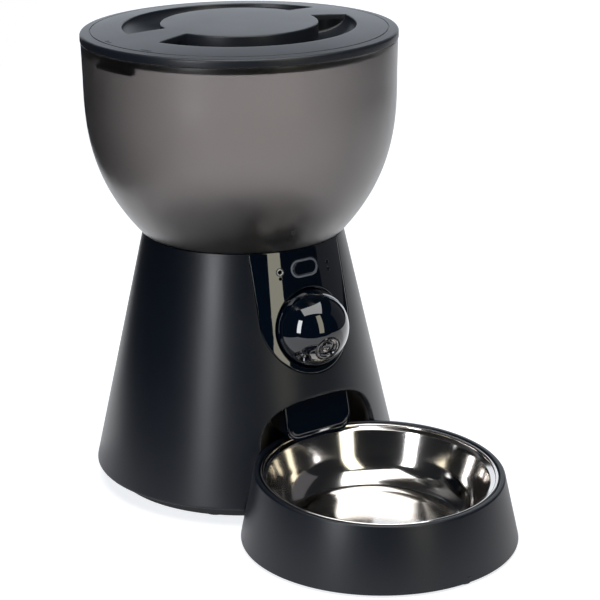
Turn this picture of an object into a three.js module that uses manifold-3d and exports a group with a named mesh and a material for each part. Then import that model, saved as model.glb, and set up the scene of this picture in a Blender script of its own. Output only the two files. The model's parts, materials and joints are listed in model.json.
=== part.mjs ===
// Pet feeder with a pan and tilt camera: a cone shaped base with a bowl shaped food tank on top,
// a twist-off lid, a portion wheel and chute inside, and a steel bowl in a pull-off holder in front.
// Millimetres, +Z up, front towards -Y, origin in the middle of the footprint on the floor.
import * as THREE from 'three';
import { mergeVertices } from 'three/addons/utils/BufferGeometryUtils.js';
import Module from 'manifold-3d';

const wasm = await Module();
wasm.setup();

// Clearances shared by all pieces
const gap = 0.3; // between pieces that touch
const overrun = 6; // how far a cutter reaches past what it cuts
const mergeDistance = 6e-5; // vertices closer than this are one

// Base cone
const lidRadius = 100;
const footInset = 0.1; // the foot of the cone stands this far inside the lid's edge
const footRadius = lidRadius - footInset;
const skirtHeight = 11.2; // lower edge of the cone above the floor
const neckRadius = 64.7;
const seamHeight = 167.4; // top edge of the cone
const shellWall = 3;
const deckThickness = 3.7;
const deckBore = 57;
const archWall = 1.6; // wall left round the arched opening
const archBand = 30;
const archBandLow = 40;
const archBandHigh = 84;
const coneSlope = (footRadius - neckRadius) / (seamHeight - skirtHeight);
const coneAngle = Math.atan(coneSlope);
const hullSegments = 32; // facets of the large round pieces
const socketSegments = 24;
const midSegments = 20;
const shaftSegments = 12;
const wedgeStep = 20; // degrees between the corners of a wedge
const quarterTurn = 90;
const smallSegments = 8;
const screwSegments = 6;

// Bottom plate and feet
const plateBottom = 2.3;
const plateThickness = 2.5;
const plinthInset = 11.7; // from the foot of the cone in to the plinth
const plinthRadius = footRadius - plinthInset;
const plinthWall = 2.5;
const plinthTop = 14.3;
const footPadRadius = 8;
const footPadInset = 12.2;
const footPadRing = plinthRadius - footPadInset;
const footPadAngles = [50, 150, -150, -50];
const baseScrewAngles = [70, 125, -125, -70];
const baseScrewInset = 8.6;
const baseScrewRing = footRadius - baseScrewInset;
const bossRadius = 4;
const bossHeight = 16;
const screwRadius = 1.5;
const screwHeadRadius = 3;
const screwHeadHeight = 2;
const screwLength = 10;

// Batteries
const cellRadius = 16.8;
const cellLength = 61.5;
const cellPitch = 34.4;
const cellCount = 3;
const cellNubRadius = 4.5;
const cellNubLength = 1.5;
const bayFront = -22; // front end of the battery bay, from the tower axis
const bayWall = 1.8;
const contactThickness = 0.8;
const contactHeight = 20;
const doorThickness = 2;
const doorMargin = 3;
const doorTravel = 8;
const doorGripWidth = 26;
const doorGripDepth = 1;
const doorGripPitch = 3;
const doorGripCount = 3;
const boardThickness = 1.6;
const boardWidth = 76;
const boardDepth = 46;
const boardPost = 3;
const boardPostHeight = 3;

// Food tank
const tankWall = 2.4;
const tankRimHeight = 291.1;
const lidOverhang = 0.4; // how far the lid stands out past the tank's rim
const tankDraft = 0.5;
const tankShoulderDrop = 23.1;
const tankRimRadius = lidRadius - lidOverhang;
const tankShoulderHeight = tankRimHeight - tankShoulderDrop; // above this the wall is nearly upright
const tankShoulderRadius = tankRimRadius - tankDraft;
const tankPower = 2.7; // how fast the wall flattens to upright
const spigotRadius = 56.6;
const spigotDepth = 9.4;
const tankLugReach = 1.8;
const tankLugWidth = 8;
const tankLugHeight = 3;
const tankLugAngles = [90, 210, 330];
const tankTurn = 10.3;
const gasketInner = 59.2;
const gasketOuter = 61.8;
const gasketDepth = 1; // how deep it lies in the deck
const gasketThickness = 1.5;
const tankTabReach = 1.8;
const tankTabHeight = 1.5;
const tankTabSpan = 20;

// Lid
const lidEdge = 4.8; // rounding of the outer edge
const lidBand = 5.3; // upright band below the rounding
const lidRimHeight = tankRimHeight + lidBand;
const lidCrown = 5; // rise from the edge to the middle
const lidCrownPower = 2.4;
const lidWall = 2.4;
const pocketInset = 26.4; // from the lid's edge to the finger pockets
const pocketWidth = 24;
const pocketRadius = lidRadius - pocketInset;
const discRadius = pocketRadius - pocketWidth; // middle disc between the finger pockets
const pocketDepth = 12;
const pocketStart = -75;
const pocketEnd = 78;
const skirtInset = 5.5;
const skirtRadius = lidRadius - skirtInset;
const skirtWall = 2.6;
const skirtDepth = 5.2;
const lidLugReach = 2.1;
const lidLugDrop = 9.4; // below the tank's rim
const lidLugBottom = tankRimHeight - lidLugDrop;
const lidLugHeight = 3.1;
const lidLugStart = -97;
const lidLugSpan = 20.4;
const lidLugAngles = [0, 180];
const lidTurn = 24;
const sealDepth = 1.6; // how deep the seal lies in the skirt
const sealHeight = 3.6;
const sealLips = 2;
const cupDepth = 13;
const desiccantCoverThickness = 2;
const desiccantThickness = 7;
const desiccantSlots = 6;
const desiccantSlotWidth = 3;
const desiccantSlotShares = [0.8, 0.3];
const desiccantFaceShare = 0.9;

// Portion wheel and its housing
const chamberRadius = 42;
const chamberDrop = 49.9; // floor of the chamber below the seam
const chamberFloor = seamHeight - chamberDrop;
const housingWall = 2;
const housingFloor = 3;
const chamberHeight = 31.5;
const hopperRadius = 50;
const hopperHeight = 9; // height of the flare between chamber and rim
const housingFlange = 2.4;
const housingFlangeDrop = 14.4; // from the deck's top edge down to the flange
const housingBossAngles = [45, 180, -45];
const housingBossRing = 60;
const housingBossRadius = 3;
const wheelRadius = 41;
const wheelHeight = 28;
const hubRadius = 12;
const vaneThickness = 2.2;
const vaneCount = 6;
const plugRadius = 8;
const plugDepth = 6;
const meterThickness = 2;
const meterRing = 3;
const meterHalfAngle = 34;
const domeRadius = 26;
const domeHeight = 39;
const finCount = 3;
const finReach = 47;
const finThickness = 3;
const finHeight = 5;
const finRise = 10;
const hexRadius = 7;
const hexHeight = 10;
const couplingRadius = 4.6;
const shaftRadius = 3;
const shaftLength = 15.4;
const shaftInset = 11; // length of the shaft inside the gearbox
const gearboxRadius = 18.5;
const gearboxHeight = 24;
const gearboxOffset = 7; // the output shaft is off the gearbox centre
const motorRadius = 14;
const motorRoomShare = 0.68; // the motor's length over the room between the gearbox and the main board

// Chute and outlet
const outletHalf = 19; // half the width of the hole in the housing floor
const dropFront = 41.5;
const dropBack = 15.5;
const chuteHalf = 22;
const chuteWall = 2.2;
const hoodInset = 16.9; // front of the hood behind the foot of the cone
const hoodDepth = 17; // from the hood's front to the end of the ramp
const hoodFront = footRadius - hoodInset;
const hoodKneeInset = 16;
const hoodKnee = hoodFront - hoodKneeInset;
const hoodTop = 78;
const rampEnd = hoodFront - hoodDepth;
const rampEndHeight = 58;
const dropKneeShare = 0.59; // height of the knee between the hood's top and the chamber's floor
const dropKnee = hoodTop + (chamberFloor - housingFloor - hoodTop) * dropKneeShare;
const hoodBottom = 48.2;
const hoodCorner = 8;
const archTop = 76;
const archCrown = 33;
const archShoulder = 42;
const archShoulderHeight = 64;
const archKnee = 44;
const archKneeHeight = 50;
const recessDepth = 27; // from the hood's front to the back of the recess
const recessBack = hoodFront - recessDepth;
const recessWall = 1.8;

// Front panel, camera and button
const panelHalf = 34;
const panelRoundDrop = 43.1; // centre of the panel's round end below the seam
const panelRoundHeight = seamHeight - panelRoundDrop;
const panelThickness = 1.6;
const socketDrop = 49.1;
const socketHeight = seamHeight - socketDrop;
const socketProud = 0.335; // centre of the socket's rim in front of the cone
const socketRadius = 26.8;
const socketWall = 1.8;
const socketRim = 0.9;
const rimShoulderShare = 0.8;
const ballRadius = 21.5;
const ballBack = 3.8; // ball centre behind the plane of the socket rim
const ballWall = 1.8;
const ballSplit = 4; // seam of the ball behind its centre
const panRest = -27;
const tiltRest = 27;
const tiltUp = 40;
const tiltDown = 15;
const panShaftRadius = 2;
const slotClearance = 1.2;
const yokeArm = 1.5;
const yokeReach = 15.8; // outer face of the yoke arms
const yokeWidth = 6;
const yokeFoot = 12.5; // yoke's foot below the ball centre
const pinRadius = 1.2;
const pinLength = 3;
const pinBossRadius = 3;
const panMotorRadius = 6.5;
const panMotorHeight = 9;
const tiltMotorRadius = 4;
const tiltMotorLength = 13;
const tiltMotorBack = 8;
const lensYaw = 19.5;
const lensPitch = 6.5;
const ledYaw = -19.5;
const ledPitch = -6.5;
const lensRadius = 7.2;
const lensDepth = 5.2;
const lensStep = 1.4;
const lensGlassRadius = 3.2;
const lensGlassSag = 1.2;
const lensGlassShares = [[0.8, 0.45], [0.45, 0.85]]; // radius and rise of the dome's points
const ledRadius = 4.3;
const ledDepth = 3.4;
const ledDomeRadius = 1.9;
const ledDomeShares = [[1, 0.33], [1, 0.5], [0.7, 0.7], [0, 0.8]]; // radius and height of the dome's points
const sensorSize = 9;
const buttonDrop = 12;
const buttonHeight = seamHeight - buttonDrop;
const ringHalfLength = 10.1;
const ringHalfHeight = 5.5;
const ringLine = 1.4;
const ringDepth = 2.6;
const buttonProud = 0.4;
const buttonFlange = 1.2;
const buttonTravel = 1.2;
const switchHeight = 1;
const switchHalf = 3;
const keyBoardHalf = 13;
const keyBoardHeight = 10;
const keyBoardThickness = 1.2;
const micAngle = -15.1;
const micDrop = 12.3;
const micHeight = seamHeight - micDrop;
const micRadius = 2.2;
const micBore = 1.2;
const micSmallDrop = 4;
const indicatorAngle = 16.4;
const indicatorRadius = 1.1;
const indicatorPitch = 4.3;

// Rear side
const inletHeight = 24;
const inletRadius = 5;
const inletBore = 3.2;
const inletDepth = 12;
const inletPinRadius = 0.9;
const speakerHeight = 62;
const speakerRadius = 15;
const speakerDepth = 6;
const speakerSlots = 7;
const speakerSlotPitch = 3.6;
const speakerSlotWidth = 1.5;
const speakerSink = 1.6; // extra depth, because the wall is curved
const speakerCollar = 1.6;
const speakerDishShare = 0.85;

// Bowl holder and bowl
const bowlReach = 42.85; // bowl axis in front of the foot of the cone
const bowlForward = footRadius + bowlReach; // bowl axis in front of the tower axis
const holderFoot = 86.1;
const holderDraft = 9.4;
const holderTop = holderFoot - holderDraft;
const holderHeight = 44.2;
const holderTilt = 0.044; // slope of the rim, rising towards the tower
const holderLip = 2.6;
const holderWall = 2.6;
const holderBottom = 1.5;
const holderPad = 5;
const holderPadInset = 7.1;
const holderPadRing = holderFoot - holderPadInset;
const holderPadBoss = 5;
const holderPadAngles = [0, 115, -115];
const dockGap = 0.6;
const rimInset = 4.7;
const rimRadius = holderTop - rimInset;
const rimRoll = 1.2;
const rimDrop = 1.7; // rim centre line below the holder's lip
const bowlWallInset = 2.4;
const bowlWallRadius = rimRadius - bowlWallInset;
const bowlFloorShare = 0.611; // floor radius over the rim's
const bowlFloorRadius = rimRadius * bowlFloorShare;
const bowlDepth = 33;
const bowlSheet = 0.8;
const seatInset = 4;
const seatRadius = rimRadius - seatInset;
const wellGap = 1.2;
const holderFloor = 2;
const bowlCornerPower = 0.75; // how soon the wall turns into the floor
const bowlWallPower = 0.9;
const rollStart = -45;
const rollSpan = 225;

const degree = Math.PI / 180;
const towerBack = (bowlForward + holderFoot - lidRadius) / 2;

// Colours and finishes
const finish = (colour, roughness, metalness = 0) => () =>
  new THREE.MeshStandardMaterial({ color: colour, roughness, metalness });
const satinBlack = finish(0x1b1c1f, 0.5);
const glossBlack = finish(0x07080a, 0.12);
const smoked = finish(0x6c6461, 0.35);
const darkRubber = finish(0x141414, 0.9);
const innerBlack = finish(0x101113, 0.6);
const steel = finish(0xc9cbcc, 0.18, 1);
const zinc = finish(0x9a9c9e, 0.4, 1);
const boardGreen = finish(0x1f5a34, 0.6);
const softWhite = finish(0xd9dcd8, 0.7);
const lightGrey = finish(0x9aa0a6, 0.4);
const cellWrap = finish(0x2d3a44, 0.45);
const lensGlass = finish(0x0b0d18, 0.05);

// A closed solid from a geometry: vertices merged, collapsed triangles dropped, faces turned outwards
function solid(geometry) {
  const plain = geometry.clone();
  plain.deleteAttribute('normal');
  plain.deleteAttribute('uv');
  const merged = mergeVertices(plain, mergeDistance);
  const places = merged.attributes.position.array;
  const order = merged.index.array;
  const triangles = [];
  const [a, b, c] = [new THREE.Vector3(), new THREE.Vector3(), new THREE.Vector3()];
  let volume = 0;
  for (let i = 0; i < order.length; i += 3) {
    const [u, v, w] = [order[i], order[i + 1], order[i + 2]];
    if (u === v || v === w || w === u) continue;
    triangles.push(u, v, w);
    a.fromArray(places, u * 3);
    b.fromArray(places, v * 3);
    c.fromArray(places, w * 3);
    volume += a.dot(b.cross(c));
  }
  if (volume < 0) triangles.reverse();
  const mesh = new wasm.Mesh({
    numProp: 3,
    vertProperties: new Float32Array(places),
    triVerts: new Uint32Array(triangles),
  });
  return new wasm.Manifold(mesh);
}

// A named mesh from a solid
function piece(name, body, material, parent) {
  const { vertProperties, triVerts } = body.getMesh();
  const geometry = new THREE.BufferGeometry();
  geometry.setAttribute('position', new THREE.BufferAttribute(vertProperties.slice(), 3));
  geometry.setIndex(new THREE.BufferAttribute(triVerts.slice(), 1));
  geometry.computeVertexNormals();
  const mesh = new THREE.Mesh(geometry, material());
  mesh.name = name;
  parent.add(mesh);
  return mesh;
}

const join = (first, ...others) => others.reduce((whole, part) => whole.add(part), first);
const cut = (first, ...others) => others.reduce((whole, part) => whole.subtract(part), first);

// A closed profile of [radius, height] points turned about Z; vertex 0 looks to the front
function turned(profile, segments = hullSegments, place = null) {
  const points = [...profile, profile[0]].map(([r, z]) => new THREE.Vector2(r, z));
  const geometry = new THREE.LatheGeometry(points, segments);
  geometry.rotateX(Math.PI / 2);
  if (place) geometry.applyMatrix4(place);
  return solid(geometry);
}

// An upright round bar or tube
function bar(radius, low, high, segments = midSegments, place = null) {
  return turned([[0, low], [radius, low], [radius, high], [0, high]], segments, place);
}

function tube(inner, outer, low, high, segments = hullSegments, place = null) {
  return turned([[inner, low], [outer, low], [outer, high], [inner, high]], segments, place);
}

function block([x0, x1], [y0, y1], [z0, z1], place = null) {
  const geometry = new THREE.BoxGeometry(x1 - x0, y1 - y0, z1 - z0);
  geometry.translate((x0 + x1) / 2, (y0 + y1) / 2, (z0 + z1) / 2);
  if (place) geometry.applyMatrix4(place);
  return solid(geometry);
}

// An outline in X and Z carried along Y from front to back
function throughY(shape, front, back, curveSteps = 6, place = null) {
  const geometry = new THREE.ExtrudeGeometry(shape, {
    depth: back - front, bevelEnabled: false, curveSegments: curveSteps,
  });
  geometry.rotateX(Math.PI / 2);
  geometry.translate(0, back, 0);
  if (place) geometry.applyMatrix4(place);
  return solid(geometry);
}

// An outline in Y and Z carried along X, the same distance to both sides
function throughX(points, half) {
  const shape = new THREE.Shape(points.map(([y, z]) => new THREE.Vector2(y, z)));
  const geometry = new THREE.ExtrudeGeometry(shape, { depth: half * 2, bevelEnabled: false });
  geometry.translate(0, 0, -half);
  geometry.rotateX(Math.PI / 2);
  geometry.rotateZ(Math.PI / 2);
  return solid(geometry);
}

// An outline in X and Y carried up Z
function upright(shape, low, high, curveSteps = 10) {
  const geometry = new THREE.ExtrudeGeometry(shape, {
    depth: high - low, bevelEnabled: false, curveSegments: curveSteps,
  });
  geometry.translate(0, 0, low);
  return solid(geometry);
}

// Angle from the front, growing towards +X
const onRing = (radius, angle) => [radius * Math.sin(angle * degree), -radius * Math.cos(angle * degree)];
const move = (x, y, z) => new THREE.Matrix4().makeTranslation(x, y, z);
const turnX = (angle) => new THREE.Matrix4().makeRotationX(angle);
const turnZ = (angle) => new THREE.Matrix4().makeRotationZ(angle);

// A wedge between two angles, as high and as wide as asked
function wedge(start, end, radius, low, high) {
  const steps = Math.max(2, Math.ceil((end - start) / wedgeStep));
  const reach = radius / Math.cos((end - start) * degree / steps / 2);
  const shape = new THREE.Shape([new THREE.Vector2(0, 0)]);
  for (let i = 0; i <= steps; i += 1) {
    shape.lineTo(...onRing(reach, start + (end - start) * i / steps));
  }
  return upright(shape, low, high);
}

// Cone of the base
const coneRadius = (z) => footRadius - (z - skirtHeight) * coneSlope;
const coneInside = (z) => coneRadius(z) - shellWall / Math.cos(coneAngle);
const coneSolid = (inside, low, high) => turned([
  [0, low], [coneRadius(low) - inside, low], [coneRadius(high) - inside, high], [0, high],
]);
const coneBand = (outside, inside, low, high) => turned([
  [coneRadius(low) - inside, low], [coneRadius(low) + outside, low],
  [coneRadius(high) + outside, high], [coneRadius(high) - inside, high],
]);

// Frame that stands on the cone: its -Y is the outward normal at this angle and height
function onCone(angle, z) {
  const place = turnZ(angle * degree);
  place.multiply(move(0, -coneRadius(z), z));
  return place.multiply(turnX(-coneAngle));
}

// A round bar along the outward normal of such a frame, from depth behind to depth in front
function barOut(radius, behind, front, place, segments = socketSegments) {
  return bar(radius, -behind, front, segments, place.clone().multiply(turnX(Math.PI / 2)));
}

function stadium(halfLength, halfHeight) {
  const straight = halfLength - halfHeight;
  const shape = new THREE.Shape();
  shape.absarc(straight, 0, halfHeight, -Math.PI / 2, Math.PI / 2);
  shape.absarc(-straight, 0, halfHeight, Math.PI / 2, Math.PI * 3 / 2);
  return shape;
}

// The arched opening in front of the base, grown by a margin
function archShape(grow) {
  const shape = new THREE.Shape();
  const foot = skirtHeight - overrun * 2;
  shape.moveTo(archKnee + grow, foot);
  shape.lineTo(archKnee + grow, archKneeHeight);
  shape.bezierCurveTo(archShoulder + grow, archShoulderHeight + grow, archCrown, archTop + grow, 0, archTop + grow);
  shape.bezierCurveTo(-archCrown, archTop + grow, -archShoulder - grow, archShoulderHeight + grow,
    -archKnee - grow, archKneeHeight);
  shape.lineTo(-archKnee - grow, foot);
  return shape;
}

// The glossy tongue shaped panel, grown by a margin
function panelShape(grow) {
  const half = panelHalf + grow;
  const shape = new THREE.Shape();
  shape.moveTo(half, seamHeight + overrun);
  shape.lineTo(-half, seamHeight + overrun);
  shape.lineTo(-half, panelRoundHeight);
  shape.absarc(0, panelRoundHeight, half, Math.PI, Math.PI * 2);
  return shape;
}

const tower = new THREE.Group();
tower.position.y = towerBack;
const bowlStand = new THREE.Group();
bowlStand.position.set(0, towerBack - bowlForward, 0);

const socketPlace = move(0, -coneRadius(socketHeight) - socketProud, socketHeight).multiply(turnX(-coneAngle));
const buttonPlace = onCone(0, buttonHeight);
const micPlace = onCone(micAngle, micHeight);
const micSmallPlace = onCone(micAngle, micHeight - micSmallDrop);
const indicatorPlaces = [0, 1].map((i) => onCone(indicatorAngle, micHeight - i * indicatorPitch));
const inletPlace = onCone(180, inletHeight);
const speakerPlace = onCone(180, speakerHeight);
const holderSlope = (holderFoot - holderTop) / holderHeight;
const ballCentre = new THREE.Vector3(0, ballBack, 0).applyMatrix4(socketPlace);

// Space kept free for the rear of the bowl holder inside the base
function dockSpace() {
  const reach = overrun * 2;
  return turned([
    [0, -reach], [holderFoot + holderSlope * reach + dockGap, -reach],
    [holderTop - holderSlope * reach + dockGap, holderHeight + reach], [0, holderHeight + reach],
  ], hullSegments, move(0, -bowlForward, 0));
}

// Base shell: the cone wall with its deck, openings, bosses and posts
function baseShell() {
  const deckBottom = seamHeight - deckThickness;
  let body = turned([
    [footRadius, skirtHeight], [neckRadius, seamHeight], [deckBore, seamHeight], [deckBore, deckBottom],
    [coneInside(deckBottom), deckBottom], [coneInside(skirtHeight), skirtHeight],
  ]);
  const bossLow = plinthTop + gap;
  const within = coneSolid(shellWall / 2, bossLow, seamHeight - gap);
  const flangeTop = seamHeight - housingFlangeDrop;
  const bosses = [
    ...baseScrewAngles.map((angle) =>
      bar(bossRadius, bossLow, bossLow + bossHeight, smallSegments, move(...onRing(baseScrewRing, angle), 0))),
    ...housingBossAngles.map((angle) =>
      bar(housingBossRadius, flangeTop + gap, seamHeight, smallSegments, move(...onRing(housingBossRing, angle), 0))),
    ...[-1, 1].map((side) => barOut(bossRadius / 2, keyBoardDepth() - gap, 0,
      buttonPlace.clone().multiply(move(side * (keyBoardHalf - bossRadius / 2), 0, 0)), screwSegments)),
    tube(speakerRadius + gap, speakerRadius + gap + speakerCollar, -speakerBack(), 0, midSegments,
      speakerPlace.clone().multiply(turnX(Math.PI / 2))),
  ];
  for (const boss of bosses) body = body.add(boss.intersect(within));
  for (const angle of baseScrewAngles) {
    const place = move(...onRing(baseScrewRing, angle), 0);
    body = body.subtract(bar(screwRadius + gap, bossLow - gap, bossLow + screwLength + gap, screwSegments, place));
  }
  for (const angle of housingBossAngles) {
    const place = move(...onRing(housingBossRing, angle), 0);
    body = body.subtract(bar(screwRadius + gap, flangeTop - gap, flangeTop + screwLength + gap, screwSegments, place));
  }
  const recess = throughY(panelShape(gap), -footRadius, 0)
    .intersect(coneBand(overrun, panelThickness + gap, skirtHeight, seamHeight + overrun));
  const notchWidth = (tankLugWidth / 2 + gap * 2) / spigotRadius / degree;
  const notches = tankLugAngles.map((angle) =>
    tube(spigotRadius - overrun, spigotRadius + tankLugReach + gap * 2, deckBottom - gap, seamHeight + gap)
      .intersect(wedge(angle - notchWidth, angle + notchWidth, neckRadius, deckBottom - gap, seamHeight + gap)));
  const slots = [];
  for (let i = 0; i < speakerSlots; i += 1) {
    const x = (i - (speakerSlots - 1) / 2) * speakerSlotPitch;
    const half = Math.sqrt((speakerRadius - speakerSlotWidth) ** 2 - x ** 2);
    slots.push(block([x - speakerSlotWidth / 2, x + speakerSlotWidth / 2], [-overrun, overrun], [-half, half],
      speakerPlace));
  }
  const thinned = coneBand(-archWall, shellWall + overrun, archBandLow, archBandHigh)
    .intersect(block([-archBand, archBand], [-footRadius, -recessBack], [archBandLow, archBandHigh]));
  return cut(
    body,
    recess,
    thinned,
    throughY(archShape(0), -footRadius - overrun, -recessBack),
    dockSpace(),
    barOut(socketRadius + gap, socketRadius * 2, overrun, socketPlace, socketSegments),
    throughY(stadium(ringHalfLength - ringLine + buttonFlange + gap * 2, ringHalfHeight - ringLine + buttonFlange + gap * 2),
      ringDepth + gap, overrun, 4, buttonPlace),
    throughY(stadium(ringHalfLength + gap, ringHalfHeight + gap), -overrun, ringDepth + gap * 2, 4, buttonPlace),
    barOut(micRadius + gap, shellWall + overrun, overrun, micPlace, smallSegments),
    barOut(inletRadius + gap, shellWall + overrun, overrun, inletPlace, midSegments),
    tube(gasketInner - gap, gasketOuter + gap, seamHeight - gasketDepth - gap, seamHeight + overrun),
    ...notches,
    ...slots,
  );
}

// How far behind the cone surface the back of the speaker lies
function speakerBack() {
  return shellWall + speakerSink + speakerDepth;
}

// How far behind the cone surface the key's board lies
function keyBoardDepth() {
  return shellWall + gap + buttonFlange + buttonTravel + switchHeight + gap;
}

// Bottom plate: flat floor, upstanding plinth wall and a flange inside the cone
const cellRow = cellPitch * cellCount;
const bayBack = bayFront + cellLength + cellNubLength + contactThickness * 2 + gap * 4 + bayWall * 2;
const bayHalf = cellRow / 2 + bayWall + gap;
const doorHalf = bayHalf + doorMargin - bayWall;
const plateTop = plateBottom + plateThickness;

function bottomPlate() {
  const flange = coneInside(plinthTop) - gap;
  const flangeBottom = skirtHeight + gap * 2;
  const body = turned([
    [0, plateBottom], [plinthRadius, plateBottom], [plinthRadius, flangeBottom],
    [flange, flangeBottom], [flange, plinthTop], [plinthRadius - plinthWall, plinthTop],
    [plinthRadius - plinthWall, plateTop], [0, plateTop],
  ]);
  const slide = plateBottom + doorThickness + gap;
  const holes = baseScrewAngles.map((angle) =>
    bar(screwRadius + gap, flangeBottom - overrun, plinthTop + overrun, screwSegments, move(...onRing(baseScrewRing, angle), 0)));
  return cut(
    body,
    dockSpace(),
    block([-bayHalf + bayWall, bayHalf - bayWall], [bayFront + bayWall, bayBack - bayWall], [0, plinthTop]),
    block([-doorHalf - gap, doorHalf + gap], [bayFront - doorMargin - gap, bayBack + doorMargin + doorTravel + gap],
      [0, slide]),
    ...holes,
  );
}

function batteryDoor() {
  const top = plateBottom + doorThickness;
  const back = bayBack + doorMargin;
  const plate = block([-doorHalf, doorHalf], [bayFront - doorMargin, back], [plateBottom, top]);
  const grips = [];
  for (let i = 1; i <= doorGripCount; i += 1) {
    const y = back - i * doorGripPitch;
    grips.push(block([-doorGripWidth / 2, doorGripWidth / 2], [y - doorGripDepth / 2, y + doorGripDepth / 2],
      [0, plateBottom + doorGripDepth]));
  }
  return cut(plate, ...grips);
}

// Battery case: an upturned tub with posts for the main board on top
const caseTop = plateTop + gap * 2 + cellRadius * 2 + gap + bayWall;

function batteryCase() {
  const low = plateTop + gap;
  const shell = block([-bayHalf, bayHalf], [bayFront, bayBack], [low, caseTop]);
  const hollow = block([-bayHalf + bayWall, bayHalf - bayWall], [bayFront + bayWall, bayBack - bayWall],
    [0, caseTop - bayWall]);
  let body = shell.subtract(hollow);
  const middle = (bayFront + bayBack) / 2;
  for (const x of [-1, 1]) {
    for (const y of [-1, 1]) {
      const place = move(x * (boardWidth / 2 - boardPost), middle + y * (boardDepth / 2 - boardPost), 0);
      body = body.add(bar(boardPost, caseTop - gap, caseTop + boardPostHeight, smallSegments, place));
    }
  }
  return body;
}

function batteryCell(index) {
  const x = (index - (cellCount - 1) / 2) * cellPitch;
  const z = plateTop + gap * 2 + cellRadius;
  const front = bayFront + bayWall + contactThickness + gap * 2;
  const place = move(x, front, z).multiply(turnX(-Math.PI / 2));
  return turned([
    [0, 0], [cellRadius, 0], [cellRadius, cellLength], [cellNubRadius, cellLength],
    [cellNubRadius, cellLength + cellNubLength], [0, cellLength + cellNubLength],
  ], smallSegments, place);
}

function batteryContacts() {
  const z = plateTop + gap * 2 + cellRadius;
  return [bayFront + bayWall + gap, bayBack - bayWall - gap - contactThickness].map((front) =>
    block([-cellRow / 2, cellRow / 2], [front, front + contactThickness],
      [z - contactHeight / 2, z + contactHeight / 2]));
}

// Recess behind the arched opening, which the bowl holder docks into
function outletRecess() {
  const low = plateTop + gap;
  const outer = throughY(archShape(recessWall), -footRadius, -recessBack + recessWall);
  const inner = throughY(archShape(0), -footRadius - overrun, -recessBack);
  const inside = coneSolid(shellWall + gap * 2, low, archBandHigh);
  const plinth = tube(plinthRadius - plinthWall - gap, footRadius, 0, plinthTop + gap);
  return cut(outer.intersect(inside), inner, dockSpace(), plinth, chuteEnvelope(gap));
}

// Side view of the chute, as [forward, height] points; grow thickens it on every side
function chuteOutline(grow) {
  const wall = chuteWall + grow;
  const top = chamberFloor - housingFloor - gap + grow;
  return [
    [-(dropBack - wall), top], [-(dropBack - wall), dropKnee - grow], [-(rampEnd - wall), rampEndHeight - wall],
    [-(hoodFront + grow), hoodBottom - grow], [-(hoodFront + grow), hoodTop + grow],
    [-(hoodKnee + chuteWall), hoodTop + grow], [-(dropFront + wall), dropKnee + grow], [-(dropFront + wall), top],
  ];
}

function chuteEnvelope(grow) {
  return throughX(chuteOutline(grow), chuteHalf + chuteWall + grow);
}

function chute() {
  const top = chamberFloor - housingFloor + overrun;
  const passage = throughX([
    [-dropBack, top], [-dropBack, dropKnee], [-rampEnd, rampEndHeight], [-rampEnd, hoodBottom - overrun],
    [-(hoodFront - chuteWall), hoodBottom - overrun], [-(hoodFront - chuteWall), hoodTop - chuteWall],
    [-hoodKnee, hoodTop - chuteWall], [-dropFront, dropKnee], [-dropFront, top],
  ], chuteHalf).intersect(coneSolid(archWall + gap * 2 + chuteWall, -overrun, seamHeight));
  const half = chuteHalf + chuteWall;
  const face = new THREE.Shape();
  face.moveTo(half, chamberFloor);
  face.lineTo(-half, chamberFloor);
  face.lineTo(-half, hoodBottom + hoodCorner);
  face.absarc(-half + hoodCorner, hoodBottom + hoodCorner, hoodCorner, Math.PI, Math.PI * 1.5);
  face.absarc(half - hoodCorner, hoodBottom + hoodCorner, hoodCorner, Math.PI * 1.5, Math.PI * 2);
  return chuteEnvelope(0).subtract(passage).intersect(throughY(face, -footRadius, 0, 5))
    .intersect(coneSolid(archWall + gap * 2, 0, seamHeight));
}

// Portion wheel housing: chamber, flare and rim, hung from the deck by a flange
const chamberTop = chamberFloor + chamberHeight;
const hopperTop = chamberTop + hopperHeight;

function dispenserHousing() {
  const floorLow = chamberFloor - housingFloor;
  const rim = seamHeight - gap * 3;
  const outer = housingWall;
  const flangeTop = seamHeight - housingFlangeDrop;
  let body = turned([
    [0, floorLow], [chamberRadius + outer, floorLow], [chamberRadius + outer, chamberTop],
    [hopperRadius + outer, hopperTop], [hopperRadius + outer, rim], [hopperRadius, rim],
    [hopperRadius, hopperTop], [chamberRadius, chamberTop], [chamberRadius, chamberFloor], [0, chamberFloor],
  ], midSegments);
  const flange = tube(chamberRadius, housingBossRing + housingBossRadius, flangeTop - housingFlange, flangeTop,
    midSegments);
  const keySpace = block([-keyBoardHalf - gap * 2, keyBoardHalf + gap * 2], [-neckRadius, -hopperRadius],
    [flangeTop - overrun, seamHeight]);
  body = body.add(flange.subtract(keySpace));
  const holes = housingBossAngles.map((angle) =>
    bar(screwRadius + gap, flangeTop - overrun, flangeTop + overrun, screwSegments, move(...onRing(housingBossRing, angle), 0)));
  return cut(
    body,
    turned([[0, chamberTop - gap], [chamberRadius, chamberTop - gap], [chamberRadius, chamberTop],
      [hopperRadius, hopperTop], [0, hopperTop]], midSegments),
    block([-outletHalf, outletHalf], [-dropFront + gap, -dropBack - gap], [floorLow - overrun, chamberFloor + overrun]),
    bar(couplingRadius + gap, floorLow - overrun, chamberFloor + overrun),
    ...holes,
  );
}

// A screw with its head below
function screw(angle, ring, headTop) {
  return turned([
    [0, headTop - screwHeadHeight], [screwHeadRadius, headTop - screwHeadHeight], [screwHeadRadius, headTop],
    [screwRadius, headTop], [screwRadius, headTop + screwLength], [0, headTop + screwLength],
  ], screwSegments, move(...onRing(ring, angle), 0));
}

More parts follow.
